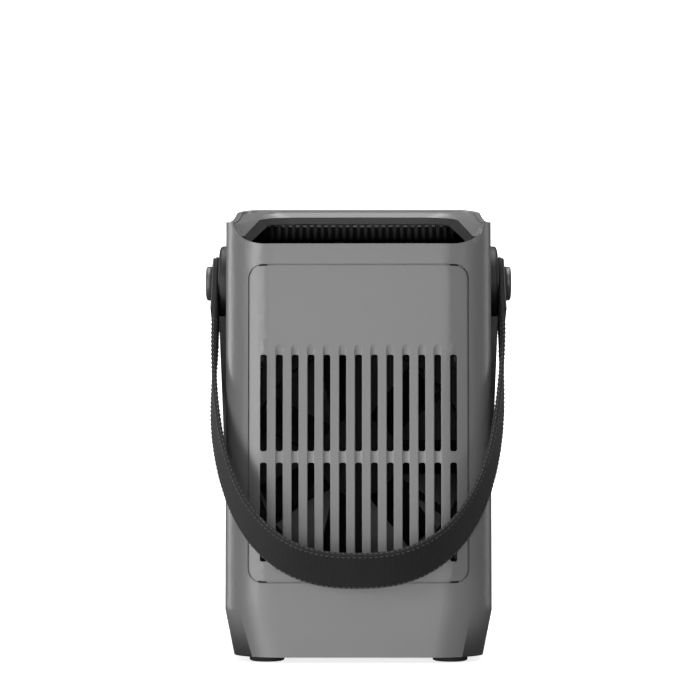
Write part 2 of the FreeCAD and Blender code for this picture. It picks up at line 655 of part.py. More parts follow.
# ----------------------------------------------------------------- fan
frame_block = box("fan_block", "fan_size", "fan_thick", "fan_size", "-fan_size / 2",
                  "-fan_front", "fan_height - fan_size / 2")
frame_round = doc.addObject("Part::Fillet", "fan_block_round")
frame_round.Base = frame_block
doc.recompute()
picked = []
for index, item in enumerate(frame_block.Shape.Edges, start=1):
    if item.BoundBox.YLength > 20:
        picked.append((index, num("fan_corner"), num("fan_corner")))
frame_round.Edges = picked
frame_tools = [rod("fan_bore_tool", "fan_bore", "fan_thick + 2", "0", "-fan_front - 1",
                   "fan_height", "y")]
for x in (-1, 1):
    for z in (-1, 1):
        frame_tools.append(rod(f"fan_frame_hole_{x + 1}{z + 1}", "fan_hole_radius",
                               "fan_thick + 2", f"{x} * fan_hole", "-fan_front - 1",
                               f"fan_height + {z} * fan_hole", "y"))
waist = []
for x in (-1, 1):
    waist.append(box(f"fan_waist_x{x + 1}", "10", "fan_thick - 8", "fan_size - 34",
                     f"{x} * (fan_size / 2 + 3.6) - 5", "-fan_front + 4",
                     "fan_height - fan_size / 2 + 17"))
frame_cut = cut("fan_frame_cut", frame_round, fuse("fan_frame_tools", frame_tools + waist))
mount = rod("motor_mount", "mount_radius", "2.8", "0", "-34.3", "fan_height", "y")
tube = rod("motor_tube", "tube_radius", "16.5", "0", "-50", "fan_height", "y")
arms = []
for index, angle in enumerate((35, 145, 215, 325)):
    arm = box(f"motor_arm_{index}", "40", "2.8", "4", "0", "-34.3", "0")
    arm.Placement = FreeCAD.Placement(V(), FreeCAD.Rotation(V(0, 1, 0), -angle))
    place(arm, f"{19 * math.cos(math.radians(angle)):.4f}", "-34.3",
          f"fan_height + {19 * math.sin(math.radians(angle)):.4f}")
    arms.append(arm)
half_lens = 9.6
lens_radius = 70.0
lens_points = []
for step in range(-16, 17):
    z = 60.0 * step / 16
    lens_points.append((max(half_lens - z * z / (2 * lens_radius), 2.2), z))
outline = [(x, z) for x, z in lens_points] + [(-x, z) for x, z in reversed(lens_points)]
lens_sketch = polygon("lens_outline", outline, "XZ", "-fan_front + 1.3")
bind(lens_sketch, "Placement.Base.z", "fan_height")
lens = extrude("lens_strut", lens_sketch, "1.2", "0", (0, -1, 0))
bore_limit = rod("bore_limit", "fan_bore + 1", "6", "0", "-fan_front - 1", "fan_height", "y")
lens_trim = common("lens_trim", lens, bore_limit)
frame_full = fuse("fan_frame_full", [frame_cut, mount, tube, lens_trim] + arms)
tube_hole = rod("motor_tube_hole", "tube_bore", "16.6", "0", "-50.1", "fan_height", "y")
node("fan_frame", cut("fan_frame", frame_full, tube_hole))

screws = []
for x in (-1, 1):
    for z in (-1, 1):
        name = f"fan_screw_{x + 1}{z + 1}"
        height = f"fan_height + {z} * fan_hole"
        screws.append(rod(name + "_head", "3.6", "2.2", f"{x} * fan_hole", "-31.5", height, "y"))
        screws.append(rod(name + "_shank", "1.65", "27.4", f"{x} * fan_hole", "-58.7", height,
                          "y"))
node("fan_screws", fuse("fan_screws", screws))

rotor = doc.addObject("PartDesign::Body", "fan_rotor")
sketch = sketch_in(rotor, "hub_sketch")
circle_in(sketch, "hub_radius")
doc.recompute()
pad(rotor, "hub_pad", sketch, "hub_length")
blade = sketch_in(rotor, "blade_sketch", "YZ_Plane", "hub_radius - 1")
pitch = math.radians(num("blade_pitch"))
chord = num("blade_chord") / 2
thick = num("blade_thick") / 2
along = V(math.cos(pitch), math.sin(pitch), 0)
across = V(-math.sin(pitch), math.cos(pitch), 0)
middle = V(0, num("hub_length") / 2, 0)
corners = [middle + along * chord + across * thick, middle - along * chord + across * thick,
           middle - along * chord - across * thick, middle + along * chord - across * thick]
for index in range(4):
    blade.addGeometry(Part.LineSegment(corners[index], corners[(index + 1) % 4]), False)
doc.recompute()
blade_pad = pad(rotor, "blade_pad", blade, "blade_reach")
pattern = rotor.newObject("PartDesign::PolarPattern", "blade_pattern")
pattern.Originals = [blade_pad]
pattern.Axis = (origin_plane(rotor, "Z_Axis"), [""])
pattern.Angle = 360
pattern.Occurrences = 7
rotor.Tip = pattern
doc.recompute()
sketch = sketch_in(rotor, "cup_sketch", "XY_Plane", "hub_length - 2.5")
circle_in(sketch, "cup_radius")
doc.recompute()
pocket(rotor, "cup_pocket", sketch, "hub_length")
sketch = sketch_in(rotor, "shaft_sketch", "XY_Plane", "hub_length - 0.8")
circle_in(sketch, "shaft_radius")
doc.recompute()
pocket(rotor, "shaft_pocket", sketch, "hub_length")
rotor.Placement = FreeCAD.Placement(V(), FreeCAD.Rotation(V(1, 0, 0), 90))
place(rotor, "0", "-hub_back", "fan_height")
node("fan_rotor", rotor)

node("rotor_shaft", rod("rotor_shaft", "shaft_radius", "18.7", "0", "-53.7", "fan_height", "y"))
node("rotor_magnet", ring("rotor_magnet", "cup_radius", "magnet_bore", "13.4", "0", "-52",
                          "fan_height"))
stator_core = ring("stator_core", "stator_radius", "tube_radius", "9", "0", "-47.5",
                   "fan_height")
coils = []
for index in range(4):
    angle = math.radians(45 + 90 * index)
    coils.append(rod(f"coil_gap_{index}", "2.6", "12", f"{9.8 * math.cos(angle):.4f}", "-49",
                     f"fan_height + {9.8 * math.sin(angle):.4f}", "y"))
node("motor_stator", cut("motor_stator", stator_core, fuse("coil_gaps", coils)))
node("bearing_front", ring("bearing_front", "tube_bore", "shaft_radius + 0.03", "3", "0", "-50",
                           "fan_height"))
node("bearing_rear", ring("bearing_rear", "tube_bore", "shaft_radius + 0.03", "3", "0", "-38.6",
                          "fan_height"))
node("motor_board", ring("motor_board", "15", "tube_radius", "1.2", "0", "-37.4",
                         "fan_height"))
clip = ring("shaft_clip", "2.8", "shaft_radius", "0.5", "0", "-35.5", "fan_height")
node("shaft_clip", clip)

# ----------------------------------------------------------------- air duct
def sheet_strip(name, path, thick, half):
    """A bent sheet: a curve in the YZ plane, thickened and pushed across X."""
    points = [V(0, y, z) for y, z in path]
    curve = Part.BSplineCurve()
    curve.interpolate(points)
    steps = 24
    first, last = curve.FirstParameter, curve.LastParameter
    inner = []
    outer_side = []
    for step in range(steps + 1):
        at = first + (last - first) * step / steps
        spot = curve.value(at)
        way = curve.tangent(at)[0]
        normal = V(0, -way.z, way.y)
        inner.append(spot)
        outer_side.append(spot + normal * thick)
    a = Part.BSplineCurve()
    a.interpolate(inner)
    b = Part.BSplineCurve()
    b.interpolate(outer_side)
    edges = [a.toShape(), Part.makeLine(inner[-1], outer_side[-1]), b.toShape(),
             Part.makeLine(outer_side[0], inner[0])]
    face = Part.Face(Part.Wire(edges))
    solid = face.extrude(V(2 * half, 0, 0))
    solid.translate(V(-half, 0, 0))
    return solid


rear_path = [(-30.8, 50.5), (-12, 53.5), (8, 64), (26, 84), (37, 110), (41, 140), (42, 175),
             (42, 219)]
duct_rear = feature("duct_rear_sheet", sheet_strip("duct_rear", rear_path, -2.0, 57.9))
side_points = [(-31.0, 50.5), (-31.0, 168.0), (-44, 186), (-50, 204)]
side_points += [(42.0, 221.0)] + [(y, z) for y, z in reversed(rear_path[:-1])][:-1]
duct_sides = []
for label, x in (("left", "-60"), ("right", "58")):
    outline = polygon(f"duct_side_{label}_outline", side_points, "YZ", x)
    duct_sides.append(extrude(f"duct_side_{label}", outline, "2", "0", (1, 0, 0)))
node("duct_rear", fuse("duct_rear", [duct_rear] + duct_sides + [
    box("duct_lip", "120", "2", "3", "-60", "-31.2", "49.2")]))
front_path = [(-30.9, 171.6), (-37, 173.8), (-44, 181), (-50, 192.5), (-52, 203)]
duct_front = feature("duct_front", sheet_strip("duct_front", front_path, 1.8, 57.7))
node("duct_front", duct_front)

# ----------------------------------------------------------------- battery
tray_block = box("tray_block", "119", "72", "9.2", "-59.5", "-36", "body_bottom + base_thick")
pockets = []
cells = []
for index in (-2.5, -1.5, -0.5, 0.5, 1.5, 2.5):
    label = int(index + 2.5)
    pockets.append(rod(f"tray_pocket_{label}", "cell_radius + 0.15", "68",
                       f"{index} * cell_pitch", "-34", "cell_height", "y"))
    cells.append(rod(f"cell_{label}", "cell_radius", "cell_length", f"{index} * cell_pitch",
                     "-cell_length / 2", "cell_height", "y"))
for x in (-1, 1):
    for y in (-1, 1):
        pockets.append(rod(f"tray_pilot_{x + 1}{y + 1}", "1.55", "6", f"{x} * 57", f"{y} * 36",
                           "5"))
        pockets.append(rod(f"tray_pilot_soft_{x + 1}{y + 1}", "4", "8", f"{x} * 57",
                           f"{y} * 36", "9.8"))
node("battery_tray", cut("battery_tray", tray_block, fuse("tray_pockets", pockets)))
for index, item in enumerate(cells):
    node(f"battery_cell_{index + 1}", item)
for side, y in (("front", "-33.05"), ("rear", "32.55")):
    node(f"cell_strip_{side}", box(f"cell_strip_{side}", "5 * cell_pitch + 9", "0.5", "5",
                                   "-2.5 * cell_pitch - 4.5", y, "16.1"))
lid_top = box("lid_top", "119", "72", "2", "-59.5", "-36", "28.2")
lid_front = box("lid_front", "119", "1.5", "13", "-59.5", "-36", "15.5")
lid_back = box("lid_back", "119", "1.5", "13", "-59.5", "34.5", "15.5")
node("battery_lid", fuse("battery_lid", [lid_top, lid_front, lid_back]))

# ----------------------------------------------------------------- rear controls
board_plate = box("board_plate", "64", "board_thick", "60", "-32", "board_front", "62")
board_holes = [rod(f"board_hole_{x + 1}{z}", "1.35", "4", f"{x} * 28", "board_front - 1",
                   f"{z}", "y") for x in (-1, 1) for z in (66, 118)]
chips = [box("board_chip", "12", "2", "12", "-6", "board_front - 2", "90"),
         rod("board_coil", "5", "4", "-18", "board_front - 4", "80", "y"),
         rod("board_can", "4", "9", "18", "board_front - 9", "76", "y")]
board_fused = fuse("board_fused", [board_plate] + chips)
node("control_board", cut("control_board", board_fused, fuse("board_holes", board_holes)))
screws = []
for x in (-1, 1):
    for z in (66, 118):
        name = f"board_screw_{x + 1}{z}"
        screws.append(rod(name + "_head", "2.4", "1.5", f"{x} * 28", "board_front - 1.5",
                          f"{z}", "y"))
        screws.append(rod(name + "_shank", "1.25", "5.5", f"{x} * 28", "board_front - 0.2",
                          f"{z}", "y"))
node("board_screws", fuse("board_screws", screws))

gap = num("panel_gap")
label_plate = slab("label_plate", ("2 * (panel_half - panel_gap)", panel_wide - 2 * gap),
                   ("panel_high - panel_low - 2 * panel_gap", panel_tall - 2 * gap),
                   ("panel_corner - panel_gap", num("panel_corner") - gap),
                   "body_depth / 2 - panel_thick", "panel_thick", panel_mid)
lugs = []
for side, x in (("left", "-10.4"), ("right", "8.3")):
    lugs.append(box(f"flap_lug_{side}", "2.1", "2.6", "2.6", x, "body_depth / 2 - 0.2", "87.9"))
panel_full = fuse("panel_full", [label_plate] + lugs)
panel_cuts = fuse("panel_cuts", [
    rod("panel_power", "power_radius + 0.15", "6", "-button_x", "61", "button_height", "y"),
    rod("panel_speed", "speed_radius + 0.15", "6", "button_x", "61", "button_height", "y"),
    rod("panel_light", "1.55", "6", "0", "61", "button_height", "y"),
    box("panel_port", "9.8", "6", "4.0", "-4.9", "61", "port_height - 2.0"),
    rod("panel_pin", "0.5", "22", "-11", "body_depth / 2 + 1.2", "89.2", "x")])
node("rear_panel", cut("rear_panel", panel_full, panel_cuts))

for label, x, radius in (("power", "-button_x", "power_radius"),
                         ("speed", "button_x", "speed_radius")):
    cap = rod(f"{label}_cap", radius, "body_depth / 2 + button_proud - 59.6", x, "59.6",
              "button_height", "y")
    soft = doc.addObject("Part::Fillet", f"{label}_soft")
    soft.Base = cap
    doc.recompute()
    for index, item in enumerate(cap.Shape.Edges, start=1):
        if item.BoundBox.YMin > 62 and item.BoundBox.XLength > 5:
            soft.Edges = [(index, 0.5, 0.5)]
    flange = rod(f"{label}_flange", f"{radius} + 1.5", "1.4", x, "59.6", "button_height", "y")
    stem = rod(f"{label}_stem", "2", "3.3", x, "56.6", "button_height", "y")
    node(f"{label}_button", fuse(f"{label}_button", [soft, flange, stem]))
    body_box = box(f"{label}_switch_body", "6.2", "3.4", "6.2", f"{x} - 3.1",
                   "board_front + board_thick", "button_height - 3.1")
    dome = rod(f"{label}_switch_dome", "1.7", "4.7", x, "board_front + board_thick",
               "button_height", "y")
    node(f"{label}_switch", fuse(f"{label}_switch", [body_box, dome]))

node("light_pipe", rod("light_pipe", "1.5", "13", "0", "51.4", "button_height", "y"))
port_block = box("port_block", "9.2", "12.4", "3.4", "-4.6", "board_front + board_thick",
                 "port_height - 1.7")
port_mouth = box("port_mouth", "8.2", "8", "2.4", "-4.1", "56", "port_height - 1.2")
tongue = box("port_tongue", "6.4", "6", "0.7", "-3.2", "55.8", "port_height - 0.35")
node("usb_socket", fuse("usb_socket", [cut("port_shell", port_block, port_mouth), tongue]))

flap_plate = box("flap_plate", "16", "1.2", "11.4", "-8", "body_depth / 2 + 0.2", "76.6")
flap_barrel = rod("flap_barrel", "1.0", "16", "-8", "body_depth / 2 + 1.2", "89.2", "x")
flap_web = box("flap_web", "16", "0.9", "1.6", "-8", "body_depth / 2 + 0.5", "87.6")
flap_bore = rod("flap_bore", "0.55", "18", "-9", "body_depth / 2 + 1.2", "89.2", "x")
flap_tab = box("flap_tab", "8", "1.2", "1.4", "-4", "body_depth / 2 + 0.2", "75.4")
flap_full = fuse("flap_full", [flap_plate, flap_barrel, flap_web, flap_tab])
node("port_flap", cut("port_flap", flap_full, flap_bore))
node("flap_pin", rod("flap_pin", "0.5", "20.8", "-10.4", "body_depth / 2 + 1.2", "89.2", "x"))

# ----------------------------------------------------------------- inside leads
def lead(name, path, radius):
    """A round flexible lead through a list of points."""
    curve = Part.BSplineCurve()
    curve.interpolate([V(*point) for point in path])
    start = curve.value(curve.FirstParameter)
    way = curve.tangent(curve.FirstParameter)[0]
    section = Part.Wire(Part.makeCircle(radius, start, way))
    pipe = Part.Wire(curve.toShape()).makePipeShell([section], True, True)
    return feature(name, pipe)


node("fan_lead", lead("fan_lead", [(45, -44, 47.3), (45, -42, 40), (45, -20, 37),
                                   (43, 18, 38), (36, 36, 45), (26, 45.6, 56),
                                   (21, 47.3, 67)], 1.3))
node("battery_lead", lead("battery_lead", [(-30, 37.6, 24), (-30, 40, 33), (-27, 43, 45),
                                           (-23, 46.2, 56), (-21, 47.0, 68)], 1.5))

# ----------------------------------------------------------------- strap mounts
for side, sign in (("left", -1), ("right", 1)):
    plate = doc.addObject("PartDesign::Body", f"strap_plate_{side}")
    sketch = sketch_in(plate, f"plate_sketch_{side}")
    circle_in(sketch, "plate_radius")
    doc.recompute()
    pad(plate, f"plate_pad_{side}", sketch, "plate_thick")
    sketch = sketch_in(plate, f"plate_hole_{side}", "XY_Plane", "plate_thick")
    circle_in(sketch, "shank_radius + 0.1")
    doc.recompute()
    pocket(plate, f"plate_drill_{side}", sketch, "plate_thick + 1")
    doc.recompute()
    bevel = plate.newObject("PartDesign::Chamfer", f"plate_bevel_{side}")
    tip = doc.getObject(f"plate_drill_{side}")
    rims = []
    for index, item in enumerate(tip.Shape.Edges, start=1):
        if item.BoundBox.ZMin > num("plate_thick") - 0.01 and item.BoundBox.XLength > 20:
            rims.append(f"Edge{index}")
    bevel.Base = (tip, rims)
    bind(bevel, "Size", "1.2")
    turn = FreeCAD.Rotation(V(0, 1, 0), 90 * sign)
    plate.Placement = FreeCAD.Placement(V(), turn)
    place(plate, f"{sign} * body_width / 2", "0", "pivot_height")
    node(f"strap_plate_{side}", plate)

    x0 = half_width
    points = [(sign * x0, num("pad_high")), (sign * (x0 + 5.9), num("pad_high")),
              (sign * (x0 + 3.0), 117.7), (sign * (x0 + 0.5), num("pad_low")),
              (sign * x0, num("pad_low"))]
    outline = polygon(f"side_pad_{side}_outline", points, "XZ", "pad_width / 2")
    pad_block = extrude(f"side_pad_{side}_block", outline, "pad_width", "0", (0, -1, 0))
    node(f"side_pad_{side}", pad_block)

    start = "knob_start" if sign > 0 else "-knob_start - knob_thick"
    knob = rod(f"knob_{side}", "knob_radius", "knob_thick", start, "0", "pivot_height", "x")
    soft = doc.addObject("Part::Fillet", f"knob_soft_{side}")
    soft.Base = knob
    doc.recompute()
    for index, item in enumerate(knob.Shape.Edges, start=1):
        far = abs(item.BoundBox.Center.x) > num("knob_start") + 1
        if far and item.BoundBox.YLength > 10 and item.BoundBox.XLength < 0.1:
            soft.Edges = [(index, 1.4, 1.4)]
    shank_start = "61.5" if sign > 0 else "-knob_start - 0.5"
    shank = rod(f"shank_{side}", "shank_radius", "knob_start + 0.5 - 61.5", shank_start, "0",
                "pivot_height", "x")
    node(f"pivot_bolt_{side}", fuse(f"pivot_bolt_{side}", [soft, shank]))
    bush_start = "77.65" if sign > 0 else "-81.65"
    node(f"pivot_bush_{side}", ring(f"pivot_bush_{side}", "bush_radius", "shank_radius + 0.05",
                                    "4", bush_start, "0", "pivot_height", "x"))
    nut_start = "62.4" if sign > 0 else "-68.2"
    node(f"pivot_nut_{side}", ring(f"pivot_nut_{side}", "7.5", "shank_radius + 0.05", "5.8",
                                   nut_start, "0", "pivot_height", "x"))

# ----------------------------------------------------------------- carry strap
lean = math.radians(num("strap_lean"))
down = V(0, -math.sin(lean), -math.cos(lean))
outward = V(0, -math.cos(lean), math.sin(lean))
pivot = V(0, 0, num("pivot_height"))
half_strap = num("strap_half")
straight = num("strap_straight")
reach = num("strap_reach")
still = num("strap_still")
settle = num("strap_blend")
P_EXP = 2.89
Q_EXP = 2.48


def strap_frame(part):
    """Centre, across and normal of the webbing, part 0 (left pivot) to 1 (right pivot).

    The loop hangs a little to the left, and turns its upper edge inward as it comes round.
    """
    side = -1.0 if part < 0.5 else 1.0
    along = 1 - abs(2 * part - 1)
    bend = straight / (straight + 190.0)

    def spot(at):
        if at <= bend:
            return half_strap, straight * at / bend
        angle = math.pi / 2 * ((at - bend) / (1 - bend)) ** (P_EXP / 2)
        x = half_strap * max(math.cos(angle), 0.0) ** (2 / Q_EXP)
        return x, straight + (reach - straight) * math.sin(angle) ** (2 / P_EXP)

    x, r = spot(along)
    blend = min(max((r - still) / settle, 0), 1)
    blend = blend * blend * (3 - 2 * blend)
    step = 1e-4
    if along > 1 - step:
        normal_x, normal_r = 0.0, 1.0
    else:
        x_b, r_b = spot(min(along + step, 1.0))
        x_a, r_a = spot(max(along - step, 0.0))
        length = math.hypot(x_b - x_a, r_b - r_a)
        normal_x, normal_r = (r_b - r_a) / length, -(x_b - x_a) / length
    turn = math.radians(num("strap_twist")) * blend
    normal = V(side * normal_x, 0, 0) + down * normal_r
    across = outward * math.cos(turn) - normal * math.sin(turn)
    face = normal * math.cos(turn) + outward * math.sin(turn)
    centre = V(side * x + num("strap_sway") * blend, 0, 0) + down * r + pivot
    return centre, across, face


def strap_band():
    rows = [[], [], [], []]
    total = 72
    for step in range(total + 1):
        centre, across, face = strap_frame(step / total)
        wide = across * (num("strap_width") / 2)
        thick = face * (num("strap_thick") / 2)
        for row, offset in zip(rows, (wide + thick, wide - thick, -wide - thick, -wide + thick)):
            row.append(centre + offset)
    edges = []
    stations = [step / total for step in range(total + 1)]
    for row in rows:
        curve = Part.BSplineCurve()
        curve.interpolate(Points=row, Parameters=stations)
        edges.append(curve.toShape())
    faces = [Part.makeRuledSurface(edges[i], edges[(i + 1) % 4]) for i in range(4)]
    for index in (0, -1):
        ends = [edge.valueAt(edge.FirstParameter if index == 0 else edge.LastParameter)
                for edge in edges]
        faces.append(Part.Face(Part.makePolygon(ends + [ends[0]])))
    shell = Part.makeShell(faces)
    shell.sewShape()
    solid = Part.makeSolid(shell)
    if solid.Volume < 0:
        solid.reverse()
    return solid


band = feature("strap_band", strap_band())
strap_parts = [band]
inner_face = "strap_half - strap_thick / 2"
for side, sign in (("left", -1), ("right", 1)):
    start = inner_face if sign > 0 else "-strap_half - strap_thick / 2"
    strap_parts.append(rod(f"strap_end_{side}", "strap_width / 2", "strap_thick", start, "0",
                           "pivot_height", "x"))
strap_full = fuse("strap_full", strap_parts)
strap_bores = fuse("strap_bores", [
    rod("strap_bore_left", "bush_radius + 0.2", "10", "-84", "0", "pivot_height", "x"),
    rod("strap_bore_right", "bush_radius + 0.2", "10", "74", "0", "pivot_height", "x")])
node("carry_strap", cut("carry_strap", strap_full, strap_bores))
for side, sign in (("left", -1), ("right", 1)):
    start = "strap_half + strap_thick / 2" if sign > 0 else "-strap_half - strap_thick / 2 - tab_thick"
    disc = rod(f"tab_disc_{side}", "strap_width / 2 - 0.6", "tab_thick", start, "0",
               "pivot_height", "x")
    tail = doc.addObject("Part::Box", f"tab_tail_{side}")
    bind(tail, "Length", "tab_thick")
    bind(tail, "Width", "strap_width - 1.2")
    bind(tail, "Height", "tab_length")
    tail.Placement = FreeCAD.Placement(V(), FreeCAD.Rotation(V(1, 0, 0), 180 - num("strap_lean")))
    corner = pivot - outward * (num("strap_width") / 2 - 0.6)
    place(tail, start, f"{corner.y:.6f}", f"{corner.z:.6f}")
    tab = fuse(f"tab_full_{side}", [disc, tail])
    hole = rod(f"tab_hole_{side}", "bush_radius + 0.2", "10",
               "-86" if sign < 0 else "76", "0", "pivot_height", "x")
    node(f"strap_tab_{side}", cut(f"strap_tab_{side}", tab, hole))

# ----------------------------------------------------------------- checks and files
doc.recompute()
for obj in doc.Objects:
    state = list(obj.State)
    if "Invalid" in state or "Error" in state:
        raise RuntimeError(f"{obj.Name} failed: {state}")
for name, obj in nodes.items():
    shape = obj.Shape
    if shape.isNull() or not shape.isValid() or not shape.Solids:
        raise RuntimeError(f"{name} has no valid solid")

os.makedirs("parts", exist_ok=True)
for name, obj in nodes.items():
    obj.Shape.exportStep(os.path.join("parts", name + ".step"))
    box_now = obj.Shape.BoundBox
    print(f"{name}: {len(obj.Shape.Solids)} solids, {obj.Shape.Volume / 1000:.2f} cm3, "
          f"x {box_now.XMin:.1f}..{box_now.XMax:.1f} y {box_now.YMin:.1f}..{box_now.YMax:.1f} "
          f"z {box_now.ZMin:.1f}..{box_now.ZMax:.1f}")
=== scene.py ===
"""Looks of the compact cordless box fan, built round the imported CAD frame. Metres, row frame.

The slotted face looks along -Y, +Z is up, and the floor is z = 0. A length written in
millimetres is multiplied by MM.
"""

import json
import math

import bmesh
import bpy
from mathutils import Matrix, Vector


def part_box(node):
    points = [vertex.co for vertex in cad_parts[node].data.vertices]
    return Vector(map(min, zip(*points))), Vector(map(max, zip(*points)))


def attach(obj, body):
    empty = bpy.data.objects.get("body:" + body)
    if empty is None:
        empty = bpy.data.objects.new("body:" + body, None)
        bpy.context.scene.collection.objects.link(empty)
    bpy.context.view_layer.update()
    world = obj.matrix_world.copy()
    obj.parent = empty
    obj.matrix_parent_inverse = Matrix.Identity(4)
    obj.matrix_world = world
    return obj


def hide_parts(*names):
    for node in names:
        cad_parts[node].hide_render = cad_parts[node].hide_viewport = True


MM = 0.001
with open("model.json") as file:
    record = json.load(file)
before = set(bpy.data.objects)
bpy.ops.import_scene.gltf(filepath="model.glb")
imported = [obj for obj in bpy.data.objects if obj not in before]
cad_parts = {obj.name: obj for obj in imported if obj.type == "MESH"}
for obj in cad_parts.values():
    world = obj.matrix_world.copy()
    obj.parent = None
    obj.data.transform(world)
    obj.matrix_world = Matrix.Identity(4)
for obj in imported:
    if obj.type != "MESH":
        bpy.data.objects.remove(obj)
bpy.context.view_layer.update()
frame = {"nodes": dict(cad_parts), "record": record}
scene = bpy.context.scene


# ------------------------------------------------------------------ frame values
def corner(node):
    """Lowest and highest corner of a CAD node, as vectors."""
    low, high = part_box(node)
    return Vector(low), Vector(high)


shell_low, shell_high = corner("housing_shell")
HALF_WIDTH = shell_high.x
HALF_DEPTH = shell_high.y
FRONT = -HALF_DEPTH
bolt_low, bolt_high = corner("pivot_bolt_right")
PIVOT = Vector((0.0, 0.0, (bolt_low.z + bolt_high.z) / 2))
SIDES = (("left", -1.0), ("right", 1.0))
BODY_OF = {node: body for body, nodes in frame["record"]["behaviour"]["bodies"].items()
           for node in nodes}
SLOT_OF = {entry["node"]: entry["material_slot"] for entry in frame["record"]["subparts"]}


# ------------------------------------------------------------------ shader nodes
class Nodes:
    """A new material, with short calls that add and link its shader nodes."""

    def __init__(self, name):
        self.material = bpy.data.materials.new(name)
        self.material.use_nodes = True
        self.tree = self.material.node_tree
        self.shader = self.tree.nodes["Principled BSDF"]

    def add(self, kind, **settings):
        node = self.tree.nodes.new(kind)
        for key, value in settings.items():
            setattr(node, key, value)
        return node

    def link(self, source, target):
        self.tree.links.new(source, target)

    def paint(self, socket, value):
        """Gives one of the shader's sockets a plain value or a link."""
        if isinstance(value, (int, float)):
            self.shader.inputs[socket].default_value = value
        else:
            self.link(value, self.shader.inputs[socket])

    def coordinates(self, kind="Object", scale=(1, 1, 1)):
        coords = self.add("ShaderNodeTexCoord")
        mapping = self.add("ShaderNodeMapping")
        mapping.inputs["Scale"].default_value = scale
        self.link(coords.outputs[kind], mapping.inputs["Vector"])
        return mapping.outputs["Vector"]

    def axes(self, vector):
        """The X, Y and Z parts of a vector."""
        node = self.add("ShaderNodeSeparateXYZ")
        self.link(vector, node.inputs["Vector"])
        return node.outputs["X"], node.outputs["Y"], node.outputs["Z"]

    def noise(self, vector, scale, detail=3.0, rough=0.55):
        node = self.add("ShaderNodeTexNoise")
        node.inputs["Scale"].default_value = scale
        node.inputs["Detail"].default_value = detail
        node.inputs["Roughness"].default_value = rough
        self.link(vector, node.inputs["Vector"])
        return node.outputs["Fac"]

    def ramp(self, value, stops):
        node = self.add("ShaderNodeValToRGB")
        elements = node.color_ramp.elements
        while len(elements) < len(stops):
            elements.new(0.5)
        for element, (place, colour) in zip(elements, stops):
            element.position = place
            element.color = (*colour, 1.0)
        self.link(value, node.inputs["Fac"])
        return node.outputs["Color"]

    def range(self, value, low, high, start=0.0, end=1.0):
        """Maps start to low and end to high."""
        node = self.add("ShaderNodeMapRange")
        for socket, setting in (("From Min", start), ("From Max", end),
                                ("To Min", low), ("To Max", high)):
            node.inputs[socket].default_value = setting
        self.link(value, node.inputs["Value"])
        return node.outputs["Result"]

    def math(self, kind, first, second=0.0):
        node = self.add("ShaderNodeMath", operation=kind)
        for socket, value in zip(node.inputs, (first, second)):
            if isinstance(value, (int, float)):
                socket.default_value = value
            else:
                self.link(value, socket)
        return node.outputs["Value"]

    def mix(self, *parts):
        """The sum of values, each multiplied by its share."""
        total = 0.0
        for value, share in parts:
            total = self.math("ADD", total, self.math("MULTIPLY", value, share))
        return total

    def bump(self, height, distance, strength=1.0, before=None):
        node = self.add("ShaderNodeBump")
        node.inputs["Distance"].default_value = distance
        node.inputs["Strength"].default_value = strength
        self.link(height, node.inputs["Height"])
        if before is not None:
            self.link(before, node.inputs["Normal"])
        return node.outputs["Normal"]


def shade(colour, factor):
    """A colour made darker or paler by a factor."""
    return tuple(min(channel * factor, 1.0) for channel in colour)


# ------------------------------------------------------------------ materials
def moulded(name, colour, rough, grain=2600.0, depth=0.03, spread=0.05, metallic=0.0,
            specular=0.5):
    """Moulded or coated surface: fine spark-eroded grain, faint cloudiness, uneven gloss."""
    n = Nodes(name)
    place = n.coordinates()
    cloud = n.noise(place, 28.0, detail=4.0)
    fine = n.noise(place, grain, detail=2.0, rough=0.6)
    pits = n.noise(place, grain * 0.37, rough=0.5)
    tone = n.ramp(n.mix((cloud, 0.7), (fine, 0.3)),
                  ((0.3, shade(colour, 1 - spread)), (0.7, shade(colour, 1 + spread))))
    n.paint("Base Color", tone)
    n.paint("Roughness", n.range(n.mix((cloud, 0.5), (pits, 0.5)), rough - 0.06, rough + 0.06))
    n.paint("Normal", n.bump(n.mix((fine, 1.0), (pits, 1.2)), depth * MM))
    n.paint("Metallic", metallic)
    n.paint("Specular IOR Level", specular)
    return n.material


def shade_fade_black(name, colour, deep, low, high):
    """Dull black with painted shade, darkening from a high level down to a low one, as deep in
    the outlet.
    """
    n = Nodes(name)
    place = n.coordinates()
    level = n.range(n.axes(place)[2], 0.0, 1.0, start=low, end=high)
    dust = n.range(n.noise(place, 900.0), -0.05, 0.05)
    n.paint("Base Color", n.ramp(n.math("ADD", level, dust), ((0.0, deep), (1.0, colour))))
    n.paint("Roughness", 0.85)
    n.paint("Specular IOR Level", 0.0)
    return n.material


def brushed(name, colour, rough):
    """Turned or rolled metal with fine lines round its upright axis."""
    n = Nodes(name)
    lines = n.noise(n.coordinates(scale=(1, 1, 30)), 320.0)
    blotch = n.noise(n.coordinates(), 60.0, detail=4.0)
    n.paint("Base Color",
            n.ramp(blotch, ((0.25, shade(colour, 0.86)), (0.75, shade(colour, 1.08)))))
    n.paint("Roughness", n.range(lines, rough - 0.08, rough + 0.1))
    n.paint("Normal", n.bump(lines, 0.01 * MM))
    n.paint("Metallic", 1.0)
    return n.material


